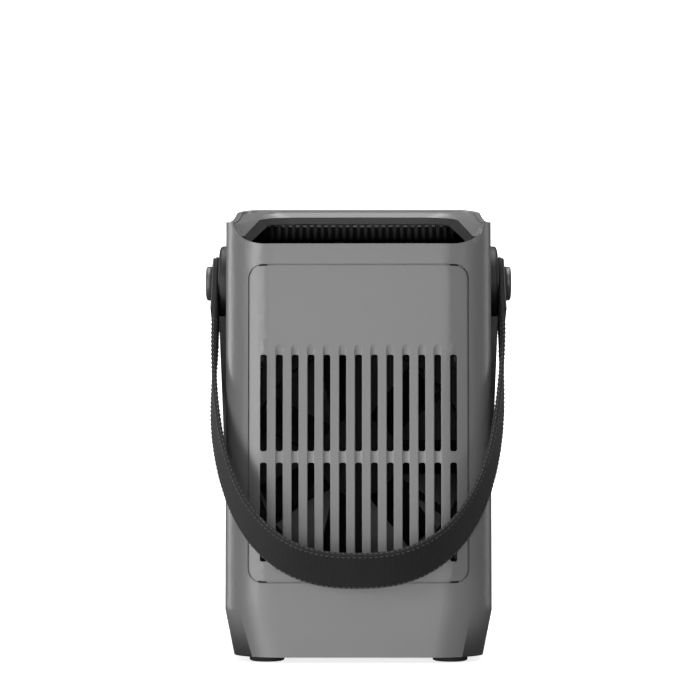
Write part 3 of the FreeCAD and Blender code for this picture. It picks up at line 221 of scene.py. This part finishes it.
def rubbery(name, colour, rough):
    """Soft dull rubber, thread or insulation, with a little pale dust."""
    n = Nodes(name)
    place = n.coordinates()
    dust = n.noise(place, 130.0, detail=6.0, rough=0.7)
    fine = n.noise(place, 1800.0, detail=2.0)
    n.paint("Base Color", n.ramp(dust, ((0.35, shade(colour, 0.85)), (0.8, shade(colour, 1.35)))))
    n.paint("Roughness", n.range(dust, rough - 0.08, rough + 0.1))
    n.paint("Normal", n.bump(fine, 0.04 * MM))
    n.paint("Specular IOR Level", 0.3)
    return n.material


def webbing(name, colour):
    """Nylon webbing: warp cords along the strap, crossed by finer weft, with a soft sheen.

    The waves of the weave are in radians per metre.
    """
    n = Nodes(name)
    along, across, _ = n.axes(n.coordinates("UV"))
    twist = n.math("SINE", n.math("MULTIPLY", n.math("ADD", along, across), 9000.0))
    weft = n.math("SINE", n.math("MULTIPLY", along, 5200.0))
    warp = n.math("SINE", n.math("MULTIPLY", across, 8200.0))
    weave = n.mix((weft, 0.5), (warp, 0.5))
    fuzz = n.noise(n.coordinates(), 900.0, detail=5.0, rough=0.7)
    cloud = n.noise(n.coordinates(), 40.0)
    tone = n.ramp(n.mix((n.range(weave, 0.0, 1.0), 0.35), (fuzz, 0.4), (cloud, 0.25)),
                  ((0.25, shade(colour, 0.62)), (0.5, colour), (0.78, shade(colour, 1.6))))
    n.paint("Base Color", tone)
    n.paint("Roughness", n.range(fuzz, 0.62, 0.86))
    cords = n.bump(n.mix((weave, 0.5), (twist, 0.25)), 0.05 * MM)
    n.paint("Normal", n.bump(fuzz, 0.05 * MM, 0.8, cords))
    n.paint("Sheen Weight", 0.06)
    n.paint("Sheen Roughness", 0.45)
    n.paint("Specular IOR Level", 0.15)
    return n.material


def clear_plastic(name, colour):
    """Faintly hazy clear moulding."""
    n = Nodes(name)
    haze = n.noise(n.coordinates(), 500.0)
    n.paint("Base Color", n.ramp(haze, ((0.3, shade(colour, 0.92)), (0.7, colour))))
    n.paint("Roughness", n.range(haze, 0.15, 0.28))
    n.paint("Transmission Weight", 0.6)
    return n.material


COATED = {"grain": 3000.0, "depth": 0.015, "spread": 0.03, "specular": 0.75}
MATERIALS = {
    "shell": moulded("shell_plastic", (0.162, 0.162, 0.163), 0.36, **COATED),
    "grille": moulded("grille_plastic", (0.160, 0.160, 0.161), 0.36, **COATED),
    "black_plastic": moulded("black_moulding", (0.012, 0.012, 0.0125), 0.5, grain=2200.0,
                             spread=0.15),
    "dark_trim": moulded("dark_trim", (0.026, 0.026, 0.0265), 0.48, grain=2400.0, depth=0.02,
                         spread=0.08),
    "fan_plastic": moulded("fan_plastic", (0.003, 0.003, 0.0032), 0.6, grain=1800.0, depth=0.01,
                           spread=0.1, specular=0.12),
    "rubber_black": rubbery("foot_rubber", (0.018, 0.018, 0.018), 0.75),
    "webbing": webbing("strap_webbing", (0.034, 0.034, 0.0345)),
    "steel": brushed("zinc_steel", (0.52, 0.53, 0.55), 0.34),
    "dark_metal": brushed("black_oxide", (0.03, 0.03, 0.032), 0.45),
    "brass_bush": brushed("bearing_bronze", (0.55, 0.38, 0.16), 0.38),
    "copper_iron": moulded("windings", (0.30, 0.12, 0.05), 0.4, grain=900.0, depth=0.2,
                           spread=0.3, metallic=0.6),
    "magnet": moulded("ferrite", (0.03, 0.03, 0.032), 0.5, grain=700.0, spread=0.2,
                      metallic=0.3),
    "board_green": moulded("solder_mask", (0.01, 0.09, 0.03), 0.25, grain=600.0, depth=0.02,
                           spread=0.2),
    "cell_wrap": moulded("cell_sleeve", (0.02, 0.12, 0.28), 0.3, grain=500.0, depth=0.02,
                         spread=0.1),
    "nickel": brushed("nickel_strip", (0.55, 0.52, 0.46), 0.3),
    "clear": clear_plastic("light_guide", (0.8, 0.82, 0.82)),
    "lead_red": rubbery("lead_insulation", (0.22, 0.012, 0.012), 0.5),
}
STITCH = rubbery("stitch_thread", (0.10, 0.10, 0.102), 0.7)
KNOB = moulded("knob_coating", (0.10, 0.10, 0.102), 0.42, grain=1600.0, depth=0.006,
               spread=0.06, metallic=0.35, specular=0.9)
# The fins' black darkens towards the bottom as painted shade deep in the outlet.
FIN_SHADE_FADE = shade_fade_black("fin_painted_shade", (0.024, 0.024, 0.0245), (0.0005, 0.0005, 0.0005),
                       234.5 * MM, 242.0 * MM)
LIP_BLACK = moulded("lip_black", (0.011, 0.011, 0.0112), 0.55, grain=2400.0, depth=0.02,
                    spread=0.08, specular=0.3)
# Near-black painted shade for the shell's cavity and the grille's back, where only shade falls.
PAINTED_SHADE_BLACK = moulded("inner_painted_shade", (0.006, 0.006, 0.006), 0.7, grain=1500.0, depth=0.05,
                 spread=0.2, specular=0.15)


# ------------------------------------------------------------------ mesh helpers
def piece(name, mesh, body, slot, replaces=(), material=None):
    """Shows a mesh as one finished piece that rides on a CAD body."""
    obj = bpy.data.objects.new(name, mesh)
    scene.collection.objects.link(obj)
    mesh.materials.clear()
    mesh.materials.append(material or MATERIALS[slot])
    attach(obj, body)
    if replaces:
        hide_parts(*replaces)
    return obj


def finished(work, name):
    """Turns a bmesh into a mesh."""
    mesh = bpy.data.meshes.new(name)
    work.to_mesh(mesh)
    work.free()
    return mesh


def bridge(work, low, high, closed=True):
    """Smooth quads from one row of points to the next."""
    count = len(low)
    quads = []
    for index in range(count if closed else count - 1):
        after = (index + 1) % count
        quad = work.faces.new((low[index], low[after], high[after], high[index]))
        quad.smooth = True
        quads.append(quad)
    return quads


def ring(work, centre, side, lift, radius, steps):
    """A round of points about a centre, in the plane of two directions."""
    points = []
    for step in range(steps):
        angle = 2 * math.pi * step / steps
        spot = side * (radius * math.cos(angle)) + lift * (radius * math.sin(angle))
        points.append(work.verts.new(centre + spot))
    return points


def softened(node, width, angle=28.0, segments=3, weight=None, shade_mask=None, material=None,
             reshape=None):
    """A CAD node with its hard edges rounded, shown in place of the node.

    The width is in millimetres, and edges sharper than the angle, in degrees, are rounded.
    weight(edge) gives each of them a share of the width, where they differ.
    The shade mask, called with (centre, normal, top), picks the faces painted black as painted
    shade, as behind a grille, and reshape(place) moves points a little before the edges are
    rounded.
    """
    mesh = frame["nodes"][node].data.copy()
    work = bmesh.new()
    work.from_mesh(mesh)
    bmesh.ops.remove_doubles(work, verts=work.verts, dist=0.002 * MM)
    bmesh.ops.dissolve_limit(work, angle_limit=math.radians(0.6), verts=work.verts,
                             edges=work.edges)
    if reshape is not None:
        for vert in work.verts:
            vert.co = reshape(vert.co)
    layer = work.edges.layers.float.new("bevel_weight_edge")
    limit = math.radians(angle)
    for edge in work.edges:
        if len(edge.link_faces) == 2 and edge.calc_face_angle(0.0) > limit:
            edge[layer] = 1.0 if weight is None else weight(edge)
    for face in work.faces:
        face.smooth = True
    work.to_mesh(mesh)
    work.free()
    obj = piece(node + "_skin", mesh, BODY_OF[node], SLOT_OF[node], (node,), material)
    if shade_mask is not None:
        mesh.materials.append(PAINTED_SHADE_BLACK)
        for face in mesh.polygons:
            top = max(mesh.vertices[index].co.z for index in face.vertices)
            face.material_index = int(shade_mask(face.center, face.normal, top))
    bevel = obj.modifiers.new("soft_edges", "BEVEL")
    bevel.limit_method = "WEIGHT"
    bevel.width = width * MM
    bevel.segments = segments
    bevel.use_clamp_overlap = True
    bevel.harden_normals = False
    bevel.loop_slide = True
    normals = obj.modifiers.new("even_normals", "WEIGHTED_NORMAL")
    normals.keep_sharp = False


def lathe(name, profile, base, axis, steps, slot, replaces, material=None):
    """A turned piece of the housing, built from a base point along an axis.

    The profile is (radius, height) points in millimetres. It starts and ends on the axis.
    """
    work = bmesh.new()
    rings = []
    for radius, height in profile:
        centre = Vector((0, 0, height * MM))
        if radius == 0:
            rings.append([work.verts.new(centre)])
        else:
            rings.append(ring(work, centre, Vector((1, 0, 0)), Vector((0, 1, 0)), radius * MM,
                              steps))
    for low, high in zip(rings[1:-1], rings[2:-1]):
        bridge(work, low, high)
    for (tip,), rim in ((rings[0], rings[1]), (rings[-1], rings[-2])):
        for step in range(steps):
            work.faces.new((tip, rim[(step + 1) % steps], rim[step])).smooth = True
    bmesh.ops.recalc_face_normals(work, faces=work.faces)
    mesh = finished(work, name)
    turn = Vector(axis).to_track_quat("Z", "Y").to_matrix().to_4x4()
    mesh.transform(Matrix.Translation(base) @ turn)
    piece(name, mesh, "housing", slot, replaces, material)


def rounding(radius_out, height, fillet):
    """Profile points of a quarter-round edge that ends on top, at a height."""
    steps = 5
    points = []
    for step in range(steps + 1):
        angle = math.pi / 2 * step / steps
        points.append((radius_out - fillet + fillet * math.cos(angle),
                       height - fillet + fillet * math.sin(angle)))
    return points


# ------------------------------------------------------------------ housing and grille
RIM_FROM = 221.5 * MM          # sharp edges above this level belong to the rim
RIM_DEPTH = 4 * MM             # edges that lie deeper inside stay sharp
SMALL_SHARE = 0.45             # width of the other edges against the rim's
BEHIND_WALL = 3.3 * MM         # just past the front wall, which is 3.2 mm thick
BOSS_FRONT = 3 * MM            # forward faces behind this depth are bosses and ledges
INNER_GAP = 9 * MM             # whatever lies this far inside is in the cavity
CAVITY_FROM = 30 * MM          # such faces below this level keep the shell's grey
SLOT_FIELD = 53 * MM           # half the width of the slotted field
SLOTS_LOW = 53.3 * MM          # just past the slots' lower ends
SLOTS_HIGH = 163.4 * MM        # just past the slots' upper ends
FLUTE_LIP = 0.3 * MM           # edges within this depth are where a flute meets the face
FLUTE_DEPTH = 0.6 * MM         # points within this depth lie in a flute
FLUTE_FAINT = 0.3              # share of the depth left where the flutes run out
GRILLE_SKIN = 1.2 * MM         # faces centred deeper than this are painted black as painted shade
PAD_RISE = 3 * MM

collar_low, _ = corner("outlet_collar")
_, pad_high = corner("side_pad_left")


def shell_weight(edge):
    """Wide soft edges on the rim, small ones elsewhere, none deep inside."""
    a, b = edge.verts[0].co, edge.verts[1].co
    middle = (a + b) / 2
    if abs(middle.x) < HALF_WIDTH - RIM_DEPTH and abs(middle.y) < HALF_DEPTH - RIM_DEPTH:
        return 0.0
    return 1.0 if min(a.z, b.z) > RIM_FROM else SMALL_SHARE


def shell_shade_mask(centre, normal, top):
    """Faces of the shell's cavity, below the collar, painted black as painted shade: they look
    inwards, or lie deep inside.
    """
    level = Vector((centre.x, centre.y))
    inward = level.dot(normal.xy) < -0.2 * level.length and centre.y > FRONT + BEHIND_WALL
    deep = abs(centre.x) < HALF_WIDTH - INNER_GAP and abs(centre.y) < HALF_DEPTH - INNER_GAP
    boss = normal.y < -0.98 and centre.y > FRONT + BOSS_FRONT
    hidden = (deep or boss) and centre.z > CAVITY_FROM
    return top < collar_low.z + 1 * MM and (inward or hidden)


def grille_weight(edge):
    """The shallow flutes run out softly, and the slots keep a fine edge."""
    spots = (edge.verts[0].co, edge.verts[1].co)
    flute = max(spot.y for spot in spots) < FRONT + FLUTE_LIP
    inner = min(abs(spot.x) for spot in spots) < SLOT_FIELD
    return 1.0 if flute and inner else 0.5


def grille_shade_mask(centre, normal, top):
    """The back of the slotted field, with the slots' walls where they lie deep, painted black as
    painted shade.
    """
    return centre.y > FRONT + GRILLE_SKIN and abs(centre.x) < SLOT_FIELD


def faint_run_outs(place):
    """The flutes' ends above and below the slots are pressed in only faintly."""
    beyond = place.z > SLOTS_HIGH or place.z < SLOTS_LOW
    if beyond and abs(place.x) < SLOT_FIELD and place.y < FRONT + FLUTE_DEPTH:
        return Vector((place.x, FRONT + (place.y - FRONT) * FLUTE_FAINT, place.z))
    return place


def under_boss(place):
    """The pad runs up until it meets the round boss over it."""
    if place.z > pad_high.z - 1 * MM:
        return place + Vector((0, 0, PAD_RISE))
    return place


softened("housing_shell", 1.1, weight=shell_weight, shade_mask=shell_shade_mask)
softened("intake_grille", 1.0, angle=20.0, weight=grille_weight, shade_mask=grille_shade_mask,
         reshape=faint_run_outs)
softened("base_plate", 0.4)
softened("outlet_collar", 0.5)
softened("outlet_bezel", 0.8, material=LIP_BLACK)
softened("outlet_fins", 0.4, segments=2, material=FIN_SHADE_FADE)
softened("rear_panel", 0.3)
softened("port_flap", 0.35)
for side, _ in SIDES:
    softened(f"strap_plate_{side}", 0.8)
    softened(f"side_pad_{side}", 1.6, segments=4, reshape=under_boss)
    softened(f"strap_tab_{side}", 0.3)


# ------------------------------------------------------------------ pivot knobs and feet
def pivot_knob(side, sign):
    """A turned knob: stem, rounded head and a shallow dished face with a screw hole."""
    low, high = corner(f"pivot_bolt_{side}")
    radius = (high.z - low.z) / 2 / MM
    inner, outer = sorted((abs(low.x), abs(high.x)))
    top = (outer - inner) / MM
    stem, head_thick, edge_round, dish = 4.0, 3.7, 1.3, 0.35
    head = top - head_thick
    profile = [(0.0, 0.0), (stem, 0.0), (stem, head), (radius - 1.0, head), (radius, head + 0.8)]
    profile += rounding(radius, top, edge_round)
    profile += [(7.4, top), (7.1, top - dish), (3.4, top - dish), (3.0, top - 0.6),
                (2.6, top - 2.2), (0.0, top - 2.4)]
    lathe(f"pivot_knob_{side}", profile, Vector((sign * inner, 0.0, PIVOT.z)), (sign, 0, 0), 96,
          "dark_metal", (f"pivot_bolt_{side}",), KNOB)


def rubber_foot(node):
    """A round pad with a hollowed sole and a plug that goes up into the base."""
    low, high = corner(node)
    centre = (low + high) / 2
    radius = (high.x - low.x) / 2 / MM
    under = (shell_low.z - low.z) / MM - 0.02      # a hair below the shell
    top = (high.z - low.z) / MM
    plug = 3.0
    profile = [(0.0, 0.5), (radius - 3.6, 0.5), (radius - 3.2, 0.0), (radius - 1.0, 0.0),
               (radius - 0.3, 0.3), (radius, 1.0), (radius, under), (plug, under), (plug, top),
               (0.0, top)]
    lathe(node + "_pad", profile, Vector((centre.x, centre.y, 0.0)), (0, 0, 1), 48,
          "rubber_black", (node,))


for side, sign in SIDES:
    pivot_knob(side, sign)
for node in ("foot_front_left", "foot_front_right", "foot_back_left", "foot_back_right"):
    rubber_foot(node)

# ------------------------------------------------------------------ carry strap
# The strap runs straight down from each pivot, then round half a superellipse, all in a
# plane that leans forward. Further down it twists a little and sways towards the left.
WIDTH = 30.0 * MM
THICK = 2.4 * MM
HALF_SPAN = 79.3 * MM          # from the middle to the webbing at a pivot
LEAN = math.radians(31.8)
STRAIGHT = 20.0 * MM
CURVE = 190.0 * MM             # nominal length of each side's curve
REACH = 182.2 * MM             # from the pivots to the bottom of the loop
TWIST = math.radians(7.2)
SWAY = -0.8 * MM
STILL = 27.0 * MM              # reach at which the twist and the sway begin
BLEND = 71.0 * MM              # further reach over which they grow to the full
P_EXP, Q_EXP = 2.89, 2.48
BEND = STRAIGHT / (STRAIGHT + CURVE)
DOWN = Vector((0, -math.sin(LEAN), -math.cos(LEAN)))
OUTWARD = Vector((0, -math.cos(LEAN), math.sin(LEAN)))


def strap_line(at):
    """Distance from the middle and reach from the pivots, at a share of half the strap."""
    if at <= BEND:
        return HALF_SPAN, STRAIGHT * at / BEND
    angle = math.pi / 2 * ((at - BEND) / (1 - BEND)) ** (P_EXP / 2)
    x = HALF_SPAN * max(math.cos(angle), 0.0) ** (2 / Q_EXP)
    return x, STRAIGHT + (REACH - STRAIGHT) * math.sin(angle) ** (2 / P_EXP)


def strap_frame(part):
    """Centre, across and face directions of the webbing, part 0 (left) to 1 (right)."""
    side = -1.0 if part < 0.5 else 1.0
    along = 1 - abs(2 * part - 1)
    step = 1e-4
    x, reach = strap_line(along)
    if along > 1 - step:
        normal_x, normal_r = 0.0, 1.0
    else:
        x_b, r_b = strap_line(min(along + step, 1.0))
        x_a, r_a = strap_line(max(along - step, 0.0))
        length = math.hypot(x_b - x_a, r_b - r_a)
        normal_x, normal_r = (r_b - r_a) / length, -(x_b - x_a) / length
    blend = min(max((reach - STILL) / BLEND, 0), 1)
    blend = blend * blend * (3 - 2 * blend)
    turn = TWIST * blend
    normal = Vector((side * normal_x, 0, 0)) + DOWN * normal_r
    across = OUTWARD * math.cos(turn) - normal * math.sin(turn)
    face = normal * math.cos(turn) + OUTWARD * math.sin(turn)
    centre = Vector((side * x + SWAY * blend, 0, 0)) + DOWN * reach + PIVOT
    return centre, across, face


def strap_stations(pitch):
    """Frames along the strap at an even spacing, with the length run so far."""
    count = 2400               # samples of the line, much finer than any pitch
    samples = [strap_frame(index / count) for index in range(count + 1)]
    lengths = [0.0]
    for before, after in zip(samples, samples[1:]):
        lengths.append(lengths[-1] + (after[0] - before[0]).length)
    total = lengths[-1]
    number = int(total / pitch)
    stations = []
    index = 0
    for step in range(number + 1):
        want = total * step / number
        while index < count - 1 and lengths[index + 1] < want:
            index += 1
        share = (want - lengths[index]) / max(lengths[index + 1] - lengths[index], 1e-9)
        centre, across, face = [a.lerp(b, share) for a, b in zip(samples[index],
                                                                samples[index + 1])]
        stations.append((centre, across.normalized(), face.normalized(), want))
    return stations


CORDS = 16
CORD_STEPS = 4                 # columns of points to a cord
PICK = 2.3 * MM                # length of one float of the weave
CORD_RELIEF = 0.13 * MM
CORD_ROOT = 0.17 * MM          # depth of the cords' roots below each face
SELVEDGE = 0.07                # share of the half width that rounds off at each edge
SELVEDGE_RELIEF = 0.10 * MM
ROW_PITCH = 0.55 * MM


def weave_height(length, share):
    """Relief of the webbing's cords at a place along it and a share (0 to 1) of its width."""
    cord = share * CORDS
    index = math.floor(cord)
    ridge = abs(math.sin(math.pi * cord)) ** 0.6
    float_phase = math.cos(2 * math.pi * (length / PICK + 0.5 * (index % 2)))
    return CORD_RELIEF * ridge * (0.62 + 0.38 * float_phase)


def strap_webbing():
    """The woven ribbon from pivot to pivot, as a closed skin of evenly spaced rows."""
    columns = CORDS * CORD_STEPS
    work = bmesh.new()
    uv = work.loops.layers.uv.new("weave")
    rows = []
    marks = {}
    for centre, across, face, length in strap_stations(ROW_PITCH):
        row = []
        for side in (1, -1):
            order = range(columns + 1) if side > 0 else range(columns - 1, 0, -1)
            for column in order:
                share = column / columns
                offset = 2 * share - 1
                edge = max(abs(offset) - 1 + SELVEDGE, 0.0) / SELVEDGE
                thick = (THICK / 2 - CORD_ROOT) * math.sqrt(max(1 - edge ** 2.2, 0.0))
                relief = weave_height(length, share) * (1 - edge * 0.7)
                if edge > 0 and column not in (0, columns):
                    turns = 0.5 + 0.5 * math.cos(2 * math.pi * length / PICK)
                    relief += SELVEDGE_RELIEF * turns
                point = centre + across * (offset * (WIDTH / 2 - 0.05 * MM))
                vert = work.verts.new(point + face * (side * (thick + relief)))
                marks[vert] = (length, share * WIDTH)
                row.append(vert)
        rows.append(row)
    for low, high in zip(rows, rows[1:]):
        for quad in bridge(work, low, high):
            for loop in quad.loops:
                loop[uv].uv = marks[loop.vert]
    return finished(work, "carry_strap_webbing")


END_RADII = (6.2, 6.5, 9.0, 12.0, 13.6, 14.6, 14.95)
END_ROUND_FROM = 13.9          # radius at which the rim begins to round off
END_ROUND = 1.1


def strap_end(sign):
    """The half-round end of the webbing past its bush."""
    work = bmesh.new()
    uv = work.loops.layers.uv.new("weave")
    steps = 48
    arcs = {1: [], -1: []}
    for side, face_arcs in arcs.items():
        for radius in END_RADII:
            edge = max(radius - END_ROUND_FROM, 0.0) / END_ROUND
            thick = (THICK / 2 - 0.05 * MM) * math.sqrt(max(1 - edge ** 2, 0.02))
            arc = []
            for step in range(steps + 1):
                angle = math.pi * step / steps
                flat = OUTWARD * math.cos(angle) - DOWN * math.sin(angle)
                spot = PIVOT + flat * radius * MM + Vector((sign * HALF_SPAN, 0, 0))
                arc.append(work.verts.new(spot + Vector((side * thick, 0, 0))))
            face_arcs.append(arc)
    for face_arcs in arcs.values():
        for low, high in zip(face_arcs, face_arcs[1:]):
            bridge(work, low, high, closed=False)
    for index in (0, -1):
        bridge(work, arcs[1][index], arcs[-1][index], closed=False)
    bmesh.ops.recalc_face_normals(work, faces=work.faces)
    for face in work.faces:
        for loop in face.loops:
            loop[uv].uv = (loop.vert.co.z, loop.vert.co.y)
    return finished(work, "strap_end")


STITCH_PITCH = 1.4 * MM
STITCH_INSET = 1.7 * MM
STITCH_OVERRUN = 0.22          # share of the pitch that a stitch runs on at each end
FACE_THREAD = 0.26 * MM
EDGE_THREAD = 0.30 * MM
FIRST_STITCH = 24              # stations left bare at each end of the strap


def stitch(work, start, end, lift, radius):
    """One sewn stitch: a thread arched from start to end over the cloth."""
    side = (end - start).normalized().cross(lift).normalized()
    sections = 7
    rings = []
    for index in range(sections):
        share = index / (sections - 1)
        arch = math.sin(math.pi * share)
        centre = start.lerp(end, share) + lift * (radius * (1.5 * arch - 0.6))
        rings.append(ring(work, centre, side, lift, radius * (0.55 + 0.45 * arch), 6))
    for low, high in zip(rings, rings[1:]):
        bridge(work, low, high)
    work.faces.new(list(reversed(rings[0])))
    work.faces.new(rings[-1])


def strap_stitching():
    """Rows of stitches near both edges of both faces, and over the narrow edges."""
    work = bmesh.new()
    stations = strap_stations(STITCH_PITCH)
    inset = WIDTH / 2 - STITCH_INSET
    lift = THICK / 2 - 0.1 * MM
    rim = WIDTH / 2 - 0.28 * MM
    for index in range(FIRST_STITCH, len(stations) - FIRST_STITCH - 2, 2):
        pair = stations[index:index + 2]
        for side in (1, -1):
            for edge in (1, -1):
                start, end = [centre + across * (edge * inset) + face * (side * lift)
                              for centre, across, face, _ in pair]
                along = (end - start) * STITCH_OVERRUN
                stitch(work, start - along, end + along, pair[1][2] * side, FACE_THREAD)
        for edge in (1, -1):
            start, end = [centre + across * (edge * rim) for centre, across, _, _ in pair]
            stitch(work, start, end, pair[0][1] * edge, EDGE_THREAD)
    return finished(work, "strap_stitching")


piece("carry_strap_webbing", strap_webbing(), "strap", "webbing", ("carry_strap",))
for side, sign in SIDES:
    piece(f"strap_end_{side}", strap_end(sign), "strap", "webbing")
piece("strap_stitching", strap_stitching(), "strap", "webbing", (), STITCH)

# ------------------------------------------------------------------ carried-over CAD nodes
for node, obj in frame["nodes"].items():
    finish = MATERIALS[SLOT_OF[node]]
    if not obj.material_slots:
        obj.data.materials.append(finish)
    for place in obj.material_slots:
        place.material = finish

# ------------------------------------------------------------------ stage and lights
FLOOR_GLOW = 1.3
FLOOR_DARK, FLOOR_PALE = (0.60, 0.60, 0.60), (0.63, 0.63, 0.63)
MIDDLE = Vector((0, 0, 0.13))


def stage():
    """A pale glowing floor that sweeps up into a backdrop and throws no light on the fan."""
    half, front, back, radius, top = 6.0, -5.0, 3.2, 1.6, 6.0
    steps = 12
    line = [(front, 0.0), (back - radius, 0.0)]
    for step in range(1, steps + 1):
        angle = math.pi / 2 * step / steps
        line.append((back - radius + radius * math.sin(angle), radius - radius * math.cos(angle)))
    line.append((back, top))
    work = bmesh.new()
    rows = [[work.verts.new((x, y, z)) for x in (-half, half)] for y, z in line]
    for low, high in zip(rows, rows[1:]):
        bridge(work, low, high, closed=False)
    mesh = finished(work, "floor")
    floor = bpy.data.objects.new("floor", mesh)
    scene.collection.objects.link(floor)
    n = Nodes("floor_paint")
    tone = n.ramp(n.noise(n.coordinates(), 3.0), ((0.3, FLOOR_DARK), (0.7, FLOOR_PALE)))
    n.paint("Base Color", tone)
    n.paint("Emission Color", tone)
    n.paint("Emission Strength", FLOOR_GLOW)
    n.paint("Roughness", 0.85)
    mesh.materials.append(n.material)
    floor.visible_diffuse = False
    floor.visible_glossy = False
    floor.visible_shadow = False


def softbox(name, place, width, height, power, target=MIDDLE):
    """A rectangular light of a power in watts, turned towards its target."""
    data = bpy.data.lights.new(name, "AREA")
    data.shape = "RECTANGLE"
    data.size = width
    data.size_y = height
    data.energy = power
    obj = bpy.data.objects.new(name, data)
    obj.location = place
    obj.rotation_mode = "QUATERNION"
    obj.rotation_quaternion = (Vector(target) - Vector(place)).to_track_quat("-Z", "Y")
    scene.collection.objects.link(obj)
    return obj


stage()
softbox("key_left", (-1.75, -2.25, 0.45), 0.7, 1.5, 33.0)
softbox("front_panel", (-0.1, -2.9, 0.22), 1.0, 1.1, 14.5)
softbox("high_front", (0.15, -2.1, 1.5), 0.8, 0.8, 6.0)
softbox("low_left", (-0.8, -1.9, -0.8), 0.9, 0.9, 11.0)
softbox("fill_right", (1.7, -2.1, 0.5), 0.9, 0.9, 3.5)
softbox("overhead", (0.0, -0.5, 2.4), 1.0, 1.0, 17.0)
softbox("rim_left", (-2.2, 0.9, 0.5), 0.8, 1.6, 17.0)
softbox("rim_right", (2.2, 0.9, 0.5), 0.8, 1.6, 7.0)
softbox("back_fill", (0.7, 2.6, 0.9), 1.0, 1.0, 20.0).visible_glossy = False
softbox("backdrop_wash", (0.0, 1.2, 3.2), 3.0, 3.0, 120.0, (0.0, 3.2, 0.9))

world = bpy.data.worlds.new("studio")
world.use_nodes = True
background = world.node_tree.nodes["Background"]
background.inputs["Color"].default_value = (1.0, 1.0, 1.0, 1.0)
background.inputs["Strength"].default_value = 0.10
scene.world = world
scene.view_settings.view_transform = "Standard"

# ------------------------------------------------------------------ camera
SENSOR = 36.0                  # millimetres, as is the focal length
FOCAL = 107.177
CAMERA_AWAY = 1.105            # metres in front of the slotted face
CAMERA_HEIGHT = 0.1205
YAW = math.radians(0.2337)
PITCH = math.radians(2.336)

camera_data = bpy.data.cameras.new("camera")
camera_data.sensor_width = SENSOR
camera_data.lens = FOCAL
camera_data.clip_start = 0.05
camera_data.clip_end = 50
camera = bpy.data.objects.new("camera", camera_data)
camera.location = (0.0, FRONT - CAMERA_AWAY, CAMERA_HEIGHT)
aim = Vector((-math.sin(YAW), math.cos(YAW), math.tan(PITCH)))
camera.rotation_mode = "QUATERNION"
camera.rotation_quaternion = aim.to_track_quat("-Z", "Y")
scene.collection.objects.link(camera)
scene.camera = camera
